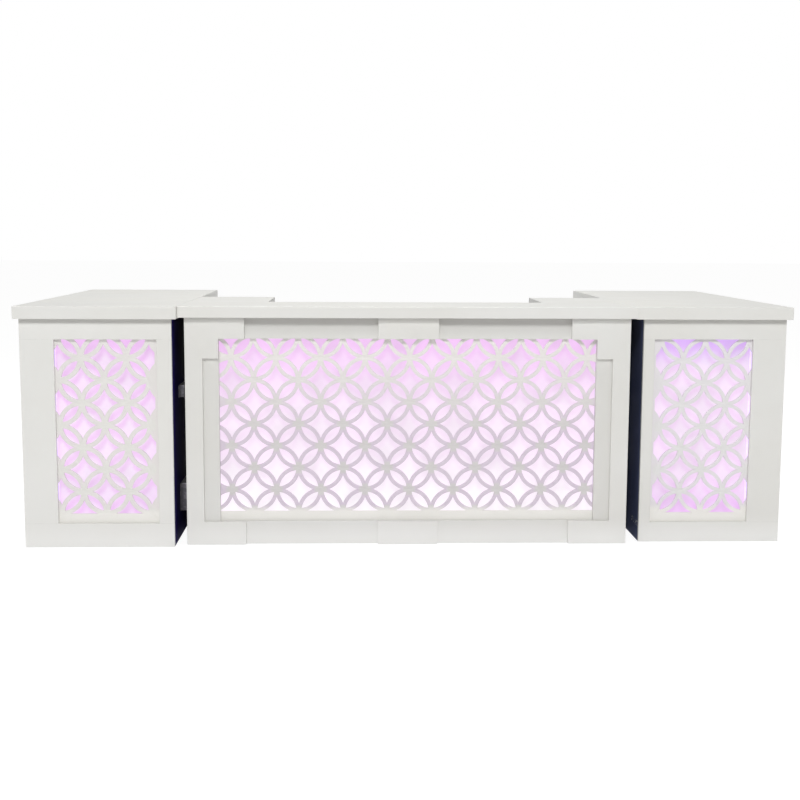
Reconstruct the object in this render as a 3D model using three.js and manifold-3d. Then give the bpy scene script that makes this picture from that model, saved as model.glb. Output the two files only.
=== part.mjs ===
// A three-module bar counter: a wide centre with a U-shaped top and two deep wings beside it.
// Each front is a white frame round a lattice of overlapping circles, lit from behind.
// Millimetres, +Z up. Guests stand on the -Y side and the bartender on the +Y side.
// The origin lies on the floor, under the middle of the whole bar.
import * as THREE from "three";
import { mergeVertices } from "three/addons/utils/BufferGeometryUtils.js";
import Module from "manifold-3d";

const wasm = await Module();
wasm.setup();

// Fits shared by every module
const JOINT_GAP = 0.3; // glue line between fixed pieces
const BUTT_GAP = 0.5; // between neighbouring counter tops
const GROOVE_DEPTH = 6; // housings that hold shelves and panels
const COUNTER_HEIGHT = 1067;
const FRONT_OVERHANG = 35; // counter top past the front face
const BOARD = 18; // carcass boards
const FRAME_THICKNESS = 19; // front frames

// Lattice, light panel and light strip
const LATTICE_PITCH = 198; // between crossings along a row
const LATTICE_THICKNESS = 9;
const LATTICE_MARGIN = 25; // plain border hidden behind the frame
const LATTICE_SILL = 41; // plain border that shows along the window's lower edge
const LATTICE_ARC_STEPS = 3; // straight edges along one side of an opening
const SMALLEST_OPENING = 16; // slivers of the pattern below this are left solid
const LATTICE_BAND = 17; // width of the lattice's bars
const LEFT_BAND = 20; // the left wing's bars are a little wider
const RING_INSET = 2.6; // middle of a bar inside the circle through the crossings
const CENTRE_LATTICE_SHIFT = 6.5; // the centre's pattern sits this far right of the window's middle
const WING_LATTICE_SHIFT = 12; // the wings' pattern sits this far outside the window's middle
const LIGHT_GAP = 45; // lattice to light panel
const LIGHT_PANEL_THICKNESS = 6;
const LIGHT_PANEL_CLEARANCE = 25; // light panel to floor
const STRIP_WIDTH = 10;
const STRIP_THICKNESS = 3;
const STRIP_OFFSET = 8; // light strip outside the window's edge

// Centre module
const CENTRE_TOP_THICKNESS = 50;
const CENTRE_TOP_DEPTH = 400;
const RETURN_WIDTH = 370; // the top's two arms
const RETURN_DEPTH = 870;
const CENTRE_SIDE_OVERHANG = 25;
const RETURN_OVERHANG = 25; // the arms past the walls that carry them
const CENTRE_WINDOW_WIDTH = 1675;
const CENTRE_STILE = 147.5;
const CENTRE_TOP_RAIL = 94;
const CENTRE_BOTTOM_RAIL = 104;
const TRIM_THICKNESS = 18; // raised layer in front of the frame
const TRIM_STILE = 78;
const CORNER_BLOCK_LENGTH = 262;
const CORNER_BLOCK_DROP = 87; // upper corner block below the window's upper edge
const MIDDLE_BLOCK_LENGTH = 268;
const STRETCHER_HEIGHT = 90;
const WORK_SHELF_DROP = 230; // below the counter top's underside
const WORK_SHELF_DEPTH = 440;
const STORE_SHELF_DEPTH = 330;
const MIDDLE_SHELF_HEIGHT = 450;
const FLOOR_SHELF_HEIGHT = 90;
const PEDESTAL_SHELF_HEIGHT = 540;
const PEDESTAL_SHELF_SETBACK = 20;

// Wing modules
const WING_TOP_THICKNESS = 55;
const WING_TOP_DEPTH = 1700;
const WING_OUTER_OVERHANG = 19;
const WING_REAR_OVERHANG = 30;
const LEFT_INNER_OVERHANG = 25;
const RIGHT_INNER_OVERHANG = 40;
const WING_WINDOW_WIDTH = 444;
const WING_OUTER_STILE = 147;
const LEFT_INNER_STILE = 65;
const RIGHT_INNER_STILE = 50;
const WING_TOP_RAIL = 90;
const LEFT_BOTTOM_RAIL = 106;
const RIGHT_BOTTOM_RAIL = 90;
const LEFT_WING_ADVANCE = 37; // front face ahead of the centre's
const RIGHT_WING_SETBACK = 34; // front face behind the centre's
const DIVIDER_SETBACK = 960; // front face to the shelf bay's front wall
const BAY_STILE = 50; // side board left standing beside the bay's opening
const BAY_TOP_RAIL = 60;
const WING_LOWER_SHELF_HEIGHT = 390;
const WING_UPPER_SHELF_HEIGHT = 670;

// Light supply boxes, each a case on a wider screw plate
const PLATE_THICKNESS = 2;
const PLATE_EAR = 14; // plate past the case at each end
const DRIVER_LENGTH = 187;
const DRIVER_HEIGHT = 128;
const DRIVER_DEPTH = 34;
const CONTROLLER_LENGTH = 172;
const CONTROLLER_HEIGHT = 56;
const CONTROLLER_DEPTH = 26;
const EAR_HOLE_RADIUS = 3;
const LEFT_SUPPLY_SETBACK = 197;
const RIGHT_SUPPLY_SETBACK = 330;
const DRIVER_ELEVATION = 118;
const CONTROLLER_ELEVATION = 642;
const CENTRE_SUPPLY_SETBACK = 40; // behind the light panel
const CENTRE_SUPPLY_RISE = 90; // above the pedestal shelf

// Power inlet: a plate with a plug recess and a rocker switch
const INLET_PLATE_WIDTH = 44;
const INLET_PLATE_LENGTH = 84;
const INLET_PLATE_THICKNESS = 3;
const INLET_BODY_WIDTH = 32;
const INLET_BODY_LENGTH = 68;
const INLET_BODY_DEPTH = 26;
const INLET_CORNER_RADIUS = 4;
const INLET_CORNER_STEPS = 2;
const INLET_PITCH = 15; // rocker and plug recess from the plate's middle
const PLUG_WIDTH = 24;
const PLUG_HEIGHT = 17;
const PLUG_DEPTH = 18;
const PLUG_PIN_WIDTH = 2;
const PLUG_PIN_HEIGHT = 4;
const PLUG_PIN_LENGTH = 14;
const PLUG_PIN_PITCH = 7;
const PLUG_EARTH_OFFSET = 4; // middle pin across from the outer two
const ROCKER_RADIUS = 11;
const ROCKER_WIDTH = 13;
const ROCKER_TILT = 10; // degrees either side of level
const ROCKER_STEPS = 8;
const ROCKER_PIN_RADIUS = 1.5;
const ROCKER_PIN_LENGTH = 1.5;
const ROCKER_CLEARANCE = 0.3;
const ROCKER_PIN_CLEARANCE = 0.1;
const ROCKER_PIN_SIDES = 16;
const SWITCH_DROP = 140; // wing switch below the counter top's underside
const SWITCH_SETBACK = 45; // wing switch ahead of the shelf bay's front wall
const CENTRE_SWITCH_INSET = 185; // centre switch from the left upright

// Finishes
function finish(color, roughness, metalness = 0) {
  return new THREE.MeshStandardMaterial({ color, roughness, metalness });
}
const whitePaint = finish(0xe2e2de, 0.45);
const latticeWhite = finish(0xe0e0d8, 0.55);
const blackPaint = finish(0x14151c, 0.5);
const lightPanelWhite = finish(0xfbd9fb, 0.4);
const stripWhite = finish(0xf2ecf6, 0.35);
const supplyGrey = finish(0xa8abb0, 0.4, 0.8);
const switchBlack = finish(0x18181a, 0.4);

// Geometry helpers. A span is [low, high] along one axis.
function spanFrom(low, length) {
  return [low, low + length];
}

function middleOf(span) {
  return (span[0] + span[1]) / 2;
}

function board(x, y, z) {
  const geometry = new THREE.BoxGeometry(x[1] - x[0], y[1] - y[0], z[1] - z[0]);
  return geometry.translate(middleOf(x), middleOf(y), middleOf(z));
}

function rectangle(x, z) {
  const shape = new THREE.Shape();
  shape.moveTo(x[0], z[0]);
  shape.lineTo(x[1], z[0]);
  shape.lineTo(x[1], z[1]);
  shape.lineTo(x[0], z[1]);
  shape.closePath();
  return shape;
}

// Upright plate: shapes drawn in X and Z, thickened along Y.
function uprightPlate(shapes, y) {
  const depth = y[1] - y[0];
  const geometry = new THREE.ExtrudeGeometry(shapes, { depth, bevelEnabled: false });
  return geometry.rotateX(Math.PI / 2).translate(0, y[1], 0);
}

function solidOf(geometry) {
  const bare = geometry.clone();
  bare.deleteAttribute("normal");
  bare.deleteAttribute("uv");
  const merged = mergeVertices(bare);
  const vertProperties = merged.attributes.position.array;
  const triVerts = new Uint32Array(merged.index.array);
  return new wasm.Manifold(new wasm.Mesh({ numProp: 3, vertProperties, triVerts }));
}

function geometryOf(solid) {
  const { vertProperties, triVerts } = solid.getMesh();
  const geometry = new THREE.BufferGeometry();
  geometry.setAttribute("position", new THREE.BufferAttribute(vertProperties, 3));
  geometry.setIndex(new THREE.BufferAttribute(triVerts, 1));
  geometry.computeVertexNormals();
  return geometry;
}

function cut(geometry, ...cutters) {
  return geometryOf(cutters.reduce((solid, cutter) => solid.subtract(solidOf(cutter)), solidOf(geometry)));
}

function join(geometry, ...others) {
  return geometryOf(others.reduce((solid, other) => solid.add(solidOf(other)), solidOf(geometry)));
}

function addPiece(group, name, material, geometry) {
  const mesh = new THREE.Mesh(geometry, material);
  mesh.name = name;
  group.add(mesh);
  return mesh;
}

// Spans grown by the glue line, for the housings that take a board's edge.
function loosened(span) {
  return [span[0] - JOINT_GAP, span[1] + JOINT_GAP];
}

// Front frame: a board with one window.
function frontFrame(x, z, windowX, windowZ, y) {
  const outline = rectangle(x, z);
  outline.holes.push(rectangle(windowX, windowZ));
  return uprightPlate(outline, y);
}

// Points along an arc, up to but without its end.
function arcPoints(x, z, radius, from, to) {
  const points = [];
  for (let step = 0; step < LATTICE_ARC_STEPS; step += 1) {
    const angle = from + ((to - from) * step) / LATTICE_ARC_STEPS;
    points.push(new THREE.Vector2(x + radius * Math.cos(angle), z + radius * Math.sin(angle)));
  }
  return points;
}

const petalRadius = (band) => (LATTICE_PITCH - band) / 2 - RING_INSET;
const diamondRadius = (band) => (LATTICE_PITCH + band) / 2 - RING_INSET;

// Almond-shaped opening where two neighbouring circles overlap.
function petal(x, z, slope, band) {
  const radius = petalRadius(band);
  const reach = LATTICE_PITCH / Math.SQRT2 / 2; // circle centres either side of the petal
  const half = Math.acos(reach / radius);
  const across = slope > 0 ? (3 * Math.PI) / 4 : Math.PI / 4;
  const points = [across, across + Math.PI].flatMap((facing) => {
    const centreX = x - reach * Math.cos(facing);
    const centreZ = z - reach * Math.sin(facing);
    return arcPoints(centreX, centreZ, radius, facing - half, facing + half);
  });
  return new THREE.Shape(points);
}

// Four-pointed opening inside one circle, between its neighbours.
function diamond(x, z, band) {
  const radius = diamondRadius(band);
  const reach = LATTICE_PITCH / 2;
  const half = Math.PI / 4 - Math.acos(reach / radius);
  const points = [0, 1, 2, 3].flatMap((quarter) => {
    const facing = Math.PI / 4 + (quarter * Math.PI) / 2;
    const centreX = x + reach * Math.SQRT2 * Math.cos(facing);
    const centreZ = z + reach * Math.SQRT2 * Math.sin(facing);
    const back = facing + Math.PI;
    return arcPoints(centreX, centreZ, radius, back + half, back - half);
  });
  return new THREE.Shape(points);
}

// Openings of the pattern that reach into a window, whole. Bars cross on the sill at middleX.
function latticeOpenings(windowX, windowZ, middleX, band) {
  const step = LATTICE_PITCH / 2;
  const columns = Math.ceil((windowX[1] - windowX[0]) / LATTICE_PITCH) + 1;
  const rows = Math.ceil((windowZ[1] - windowZ[0]) / step) + 1;
  const inside = (low, high, span) =>
    high - span[0] > SMALLEST_OPENING && span[1] - low > SMALLEST_OPENING;
  const openings = [];
  const keep = (shape, x, z, reach) => {
    if (inside(x - reach, x + reach, windowX) && inside(z - reach, z + reach, windowZ)) openings.push(shape);
  };
  const tip = step - Math.sqrt(diamondRadius(band) ** 2 - step ** 2);
  const leaf = Math.sqrt(petalRadius(band) ** 2 - step ** 2 / 2) / Math.SQRT2;
  for (let row = 0; row <= rows; row += 1) {
    const z = windowZ[0] + row * step;
    for (let column = -2 * columns; column <= 2 * columns; column += 1) {
      const x = middleX + column * step;
      const crossing = (row + column) % 2 === 0;
      if (!crossing) keep(diamond(x, z, band), x, z, tip);
      const slope = crossing ? 1 : -1;
      const leafX = x + step / 2;
      const leafZ = z + step / 2;
      keep(petal(leafX, leafZ, slope, band), leafX, leafZ, leaf);
    }
  }
  return openings;
}

// Lattice panel: a sheet whose openings are clipped to the patterned field.
function latticePanel(windowX, windowZ, fieldX, fieldZ, middleX, band, y) {
  const sheetX = [windowX[0] - LATTICE_MARGIN, windowX[1] + LATTICE_MARGIN];
  const sheetZ = [windowZ[0] - LATTICE_MARGIN, windowZ[1] + LATTICE_MARGIN];
  const through = [y[0] - 1, y[1] + 1];
  const openings = uprightPlate(latticeOpenings(fieldX, fieldZ, middleX, band), through);
  const field = solidOf(board(fieldX, through, fieldZ));
  const clipped = solidOf(openings).intersect(field);
  return geometryOf(solidOf(board(sheetX, y, sheetZ)).subtract(clipped));
}

// Light strip: a flat band that runs round behind the window's edge.
function lightStrip(windowX, windowZ, y) {
  const grown = (span, by) => [span[0] - by, span[1] + by];
  const outer = STRIP_OFFSET + STRIP_WIDTH;
  const band = rectangle(grown(windowX, outer), grown(windowZ, outer));
  band.holes.push(rectangle(grown(windowX, STRIP_OFFSET), grown(windowZ, STRIP_OFFSET)));
  return uprightPlate(band, y);
}

// The front's layers from a starting face: frame, lattice, light strip and light panel, as spans along Y.
function frontLayers(frameFace) {
  const frame = spanFrom(frameFace, FRAME_THICKNESS);
  const lattice = spanFrom(frame[1] + JOINT_GAP, LATTICE_THICKNESS);
  const panel = spanFrom(lattice[1] + LIGHT_GAP, LIGHT_PANEL_THICKNESS);
  const strip = [panel[0] - JOINT_GAP - STRIP_THICKNESS, panel[0] - JOINT_GAP];
  return { frame, lattice, strip, panel, carcass: frame[1] + JOINT_GAP, store: panel[1] + JOINT_GAP };
}

// Light supply: a case on a plate with a screw hole in each ear, lying on the XY plane.
function supplyBox(length, height, depth) {
  const plate = board([-length / 2 - PLATE_EAR, length / 2 + PLATE_EAR], [-height / 2, height / 2], [0, PLATE_THICKNESS]);
  const box = board([-length / 2, length / 2], [-height / 2, height / 2], [0, depth]);
  const holes = [-1, 1].map((end) => {
    const hole = new THREE.CylinderGeometry(EAR_HOLE_RADIUS, EAR_HOLE_RADIUS, 4 * PLATE_THICKNESS, ROCKER_PIN_SIDES);
    return hole.rotateX(Math.PI / 2).translate((end * (length + PLATE_EAR)) / 2, 0, 0);
  });
  return cut(join(plate, box), ...holes);
}

// Half-width of the rocker and of its cavity across the switch.
const rockerHalf = ROCKER_WIDTH / 2;
const rockerRoom = rockerHalf + ROCKER_CLEARANCE;

function rockerPin(radius, length) {
  return new THREE.CylinderGeometry(radius, radius, length, ROCKER_PIN_SIDES).rotateZ(Math.PI / 2);
}

// Rocker: a disc sector with a shallow V on top, on two stub pins. It turns about X, and Z points out.
function rocker() {
  const tilt = THREE.MathUtils.degToRad(ROCKER_TILT);
  const outline = new THREE.Shape();
  outline.moveTo(0, 0);
  outline.absarc(0, 0, ROCKER_RADIUS, Math.PI - tilt, 2 * Math.PI + tilt, false);
  outline.closePath();
  const extrusion = { depth: ROCKER_WIDTH, curveSegments: ROCKER_STEPS, bevelEnabled: false };
  const paddle = new THREE.ExtrudeGeometry(outline, extrusion);
  paddle.translate(0, 0, -rockerHalf).rotateY(Math.PI / 2).rotateX(Math.PI / 2);
  const pin = rockerPin(ROCKER_PIN_RADIUS, ROCKER_WIDTH + 2 * ROCKER_PIN_LENGTH);
  return join(paddle, pin);
}

// Power inlet: plate, body behind it, rocker cavity and plug recess. X across, Y along, Z out of the plate.
function powerInlet() {
  const halfWidth = INLET_PLATE_WIDTH / 2 - INLET_CORNER_RADIUS;
  const halfLength = INLET_PLATE_LENGTH / 2 - INLET_CORNER_RADIUS;
  const outline = new THREE.Shape();
  outline.absarc(halfWidth, halfLength, INLET_CORNER_RADIUS, 0, Math.PI / 2, false);
  outline.absarc(-halfWidth, halfLength, INLET_CORNER_RADIUS, Math.PI / 2, Math.PI, false);
  outline.absarc(-halfWidth, -halfLength, INLET_CORNER_RADIUS, Math.PI, 1.5 * Math.PI, false);
  outline.absarc(halfWidth, -halfLength, INLET_CORNER_RADIUS, 1.5 * Math.PI, 2 * Math.PI, false);
  const extrusion = { depth: INLET_PLATE_THICKNESS, curveSegments: INLET_CORNER_STEPS, bevelEnabled: false };
  const plate = new THREE.ExtrudeGeometry(outline, extrusion);
  const bodyX = [-INLET_BODY_WIDTH / 2, INLET_BODY_WIDTH / 2];
  const bodyY = [-INLET_BODY_LENGTH / 2, INLET_BODY_LENGTH / 2];
  const body = board(bodyX, bodyY, [-INLET_BODY_DEPTH, INLET_PLATE_THICKNESS]);

  const room = ROCKER_RADIUS + ROCKER_CLEARANCE;
  const mouth = INLET_PLATE_THICKNESS + 1;
  const cavity = board([-rockerRoom, rockerRoom], [INLET_PITCH - room, INLET_PITCH + room], [-room, mouth]);
  const boreLength = 2 * (rockerHalf + ROCKER_PIN_LENGTH + ROCKER_CLEARANCE);
  const bore = rockerPin(ROCKER_PIN_RADIUS + ROCKER_PIN_CLEARANCE, boreLength).translate(0, INLET_PITCH, 0);

  const plugY = [-INLET_PITCH - PLUG_HEIGHT / 2, -INLET_PITCH + PLUG_HEIGHT / 2];
  const plugFloor = INLET_PLATE_THICKNESS - PLUG_DEPTH;
  const recess = board([-PLUG_WIDTH / 2, PLUG_WIDTH / 2], plugY, [plugFloor, mouth]);
  const pins = [-1, 0, 1].map((place) => {
    const x = place * PLUG_PIN_PITCH;
    const y = -INLET_PITCH + (place === 0 ? PLUG_EARTH_OFFSET : 0);
    const pinX = [x - PLUG_PIN_WIDTH / 2, x + PLUG_PIN_WIDTH / 2];
    const pinY = [y - PLUG_PIN_HEIGHT / 2, y + PLUG_PIN_HEIGHT / 2];
    return board(pinX, pinY, [plugFloor - 1, plugFloor + PLUG_PIN_LENGTH]);
  });
  return join(cut(join(plate, body), cavity, bore, recess), ...pins);
}

// A turned group for an inlet and its rocker, standing a glue line off the board that holds it.
function addPowerInlet(group, prefix, place, across, along, out) {
  const turned = new THREE.Group();
  turned.setRotationFromMatrix(new THREE.Matrix4().makeBasis(across, along, out));
  turned.position.copy(place).addScaledVector(out, JOINT_GAP);
  addPiece(turned, `${prefix}_power_inlet`, switchBlack, powerInlet());
  const paddle = addPiece(turned, `${prefix}_power_switch`, switchBlack, rocker());
  paddle.position.set(0, INLET_PITCH, 0);
  paddle.rotation.x = THREE.MathUtils.degToRad(ROCKER_TILT);
  group.add(turned);
}

// Hole in a board for an inlet's body, in the same turned frame as the inlet.
function inletHole(place, across, along, out) {
  const halfWidth = INLET_BODY_WIDTH / 2 + JOINT_GAP;
  const halfLength = INLET_BODY_LENGTH / 2 + JOINT_GAP;
  const depth = INLET_BODY_DEPTH + BOARD;
  const hole = board([-halfWidth, halfWidth], [-halfLength, halfLength], [-depth, depth]);
  return hole.applyMatrix4(new THREE.Matrix4().makeBasis(across, along, out).setPosition(place));
}

function addSupply(group, name, box, place, across, along, out) {
  const piece = addPiece(group, name, supplyGrey, box);
  piece.setRotationFromMatrix(new THREE.Matrix4().makeBasis(across, along, out));
  piece.position.copy(place).addScaledVector(out, JOINT_GAP);
}

const axisX = new THREE.Vector3(1, 0, 0);
const axisY = new THREE.Vector3(0, 1, 0);
const axisZ = new THREE.Vector3(0, 0, 1);

// Centre module, about its own middle line, with the raised trim's face at Y = 0.
function buildCentre() {
  const module = new THREE.Group();
  const underside = COUNTER_HEIGHT - CENTRE_TOP_THICKNESS;
  const carcassTop = underside - JOINT_GAP;
  const bodyHalf = CENTRE_WINDOW_WIDTH / 2 + CENTRE_STILE;
  const topHalf = bodyHalf + CENTRE_SIDE_OVERHANG;
  const windowX = [-CENTRE_WINDOW_WIDTH / 2, CENTRE_WINDOW_WIDTH / 2];
  const windowZ = [CENTRE_BOTTOM_RAIL, underside - CENTRE_TOP_RAIL];
  const trimY = [0, TRIM_THICKNESS];
  const layers = frontLayers(TRIM_THICKNESS + JOINT_GAP);
  const stripRear = CENTRE_TOP_DEPTH - FRONT_OVERHANG; // rear edge of the top's front strip
  const returnRear = RETURN_DEPTH - FRONT_OVERHANG;
  const wallRear = returnRear - RETURN_OVERHANG;
  const returnInner = topHalf - RETURN_WIDTH;

  const topOutline = new THREE.Shape();
  topOutline.moveTo(-topHalf, -FRONT_OVERHANG);
  topOutline.lineTo(topHalf, -FRONT_OVERHANG);
  topOutline.lineTo(topHalf, returnRear);
  topOutline.lineTo(returnInner, returnRear);
  topOutline.lineTo(returnInner, stripRear);
  topOutline.lineTo(-returnInner, stripRear);
  topOutline.lineTo(-returnInner, returnRear);
  topOutline.lineTo(-topHalf, returnRear);
  topOutline.closePath();
  const slab = new THREE.ExtrudeGeometry(topOutline, { depth: CENTRE_TOP_THICKNESS, bevelEnabled: false });
  addPiece(module, "centre_counter_top", whitePaint, slab.translate(0, 0, underside));

  const bodyX = [-bodyHalf, bodyHalf];
  const frame = frontFrame(bodyX, [0, carcassTop], windowX, windowZ, layers.frame);
  addPiece(module, "centre_front_frame", whitePaint, frame);

  // Raised trim: a stile with an upper and a lower corner block on each side, and two middle blocks.
  for (const [name, side] of [["left", -1], ["right", 1]]) {
    const inward = (distance) => side * (bodyHalf - distance);
    const corners = [
      [0, 0],
      [CORNER_BLOCK_LENGTH, 0],
      [CORNER_BLOCK_LENGTH, windowZ[0]],
      [TRIM_STILE, windowZ[0]],
      [TRIM_STILE, windowZ[1] - CORNER_BLOCK_DROP],
      [CENTRE_STILE, windowZ[1] - CORNER_BLOCK_DROP],
      [CENTRE_STILE, windowZ[1]],
      [CORNER_BLOCK_LENGTH, windowZ[1]],
      [CORNER_BLOCK_LENGTH, carcassTop],
      [0, carcassTop],
    ];
    const outline = new THREE.Shape(corners.map(([x, z]) => new THREE.Vector2(inward(x), z)));
    addPiece(module, `centre_${name}_trim`, whitePaint, uprightPlate(outline, trimY));
  }
  const blockX = [-MIDDLE_BLOCK_LENGTH / 2, MIDDLE_BLOCK_LENGTH / 2];
  addPiece(module, "centre_top_block", whitePaint, board(blockX, trimY, [windowZ[1], carcassTop]));
  addPiece(module, "centre_bottom_block", whitePaint, board(blockX, trimY, [0, windowZ[0]]));

  const fieldZ = [windowZ[0] + LATTICE_SILL, windowZ[1]];
  const crossingX = LATTICE_PITCH / 2 + CENTRE_LATTICE_SHIFT; // a circle stands near the sill's middle
  const lattice = latticePanel(windowX, windowZ, windowX, fieldZ, crossingX, LATTICE_BAND, layers.lattice);
  addPiece(module, "centre_lattice_panel", latticeWhite, lattice);
  addPiece(module, "centre_led_strip", stripWhite, lightStrip(windowX, windowZ, layers.strip));

  // Carcass spans
  const wallInner = bodyHalf - BOARD;
  const uprightInner = returnInner + RETURN_OVERHANG;
  const uprightOuter = uprightInner + BOARD;
  const wallY = [layers.carcass, wallRear];
  const uprightY = [layers.store, wallRear];
  const wallZ = [0, carcassTop];
  const housed = GROOVE_DEPTH - JOINT_GAP;
  const panelX = [-wallInner - housed, wallInner + housed];
  const panelZ = [LIGHT_PANEL_CLEARANCE, carcassTop];
  addPiece(module, "centre_light_panel", lightPanelWhite, board(panelX, layers.panel, panelZ));

  // Boards between the uprights
  const middleX = [-uprightInner - housed, uprightInner + housed];
  const stretcherY = [stripRear - RETURN_OVERHANG - BOARD, stripRear - RETURN_OVERHANG];
  const stretcherZ = [carcassTop - STRETCHER_HEIGHT, carcassTop];
  const shelfY = spanFrom(layers.store, STORE_SHELF_DEPTH);
  const middleBoards = [
    ["centre_work_shelf", spanFrom(layers.store, WORK_SHELF_DEPTH), spanFrom(underside - WORK_SHELF_DROP - BOARD, BOARD)],
    ["centre_middle_shelf", shelfY, spanFrom(MIDDLE_SHELF_HEIGHT, BOARD)],
    ["centre_floor_shelf", shelfY, spanFrom(FLOOR_SHELF_HEIGHT, BOARD)],
  ];
  for (const [name, y, z] of middleBoards) addPiece(module, name, blackPaint, board(middleX, y, z));
  const switchPlace = new THREE.Vector3(CENTRE_SWITCH_INSET - uprightInner, stretcherY[1], middleOf(stretcherZ));
  const switchAxes = [axisZ, axisX, axisY];
  const stretcher = cut(board(middleX, stretcherY, stretcherZ), inletHole(switchPlace, ...switchAxes));
  addPiece(module, "centre_stretcher", blackPaint, stretcher);
  addPowerInlet(module, "centre", switchPlace, ...switchAxes);

  // Pedestals under the two returns
  const pedestalY = [layers.store, wallRear - PEDESTAL_SHELF_SETBACK];
  const pedestalBoards = [
    ["pedestal_shelf", spanFrom(PEDESTAL_SHELF_HEIGHT, BOARD)],
    ["pedestal_floor", spanFrom(FLOOR_SHELF_HEIGHT, BOARD)],
  ];
  for (const [name, side] of [["left", -1], ["right", 1]]) {
    const across = (low, high) => (side > 0 ? [low, high] : [-high, -low]);
    const pedestalX = across(uprightOuter - housed, wallInner + housed);
    const pedestalHousing = loosened(pedestalX);
    const shelfHousings = pedestalBoards.map(([, z]) => board(pedestalHousing, loosened(pedestalY), loosened(z)));
    const panelHousing = board(loosened(panelX), loosened(layers.panel), [-1, COUNTER_HEIGHT]);
    const wall = cut(board(across(wallInner, bodyHalf), wallY, wallZ), panelHousing, ...shelfHousings);
    addPiece(module, `centre_${name}_end_wall`, blackPaint, wall);

    const middleHousings = middleBoards.map(([, y, z]) => board(loosened(middleX), loosened(y), loosened(z)));
    const stretcherHousing = board(loosened(middleX), loosened(stretcherY), [stretcherZ[0] - JOINT_GAP, COUNTER_HEIGHT]);
    const upright = board(across(uprightInner, uprightOuter), uprightY, wallZ);
    const housings = [...middleHousings, stretcherHousing, ...shelfHousings];
    addPiece(module, `centre_${name}_upright`, blackPaint, cut(upright, ...housings));
    for (const [board_name, z] of pedestalBoards) {
      addPiece(module, `${name}_${board_name}`, blackPaint, board(pedestalX, pedestalY, z));
    }
  }

  const driver = supplyBox(DRIVER_LENGTH, DRIVER_HEIGHT, DRIVER_DEPTH);
  const driverY = layers.store + CENTRE_SUPPLY_SETBACK + PLATE_EAR + DRIVER_LENGTH / 2;
  const driverZ = PEDESTAL_SHELF_HEIGHT + BOARD + CENTRE_SUPPLY_RISE + DRIVER_HEIGHT / 2;
  const driverPlace = new THREE.Vector3(-uprightOuter, driverY, driverZ);
  const outward = axisX.clone().negate();
  addSupply(module, "centre_led_driver", driver, driverPlace, axisY.clone().negate(), axisZ, outward);
  return { module, topHalf };
}

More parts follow.
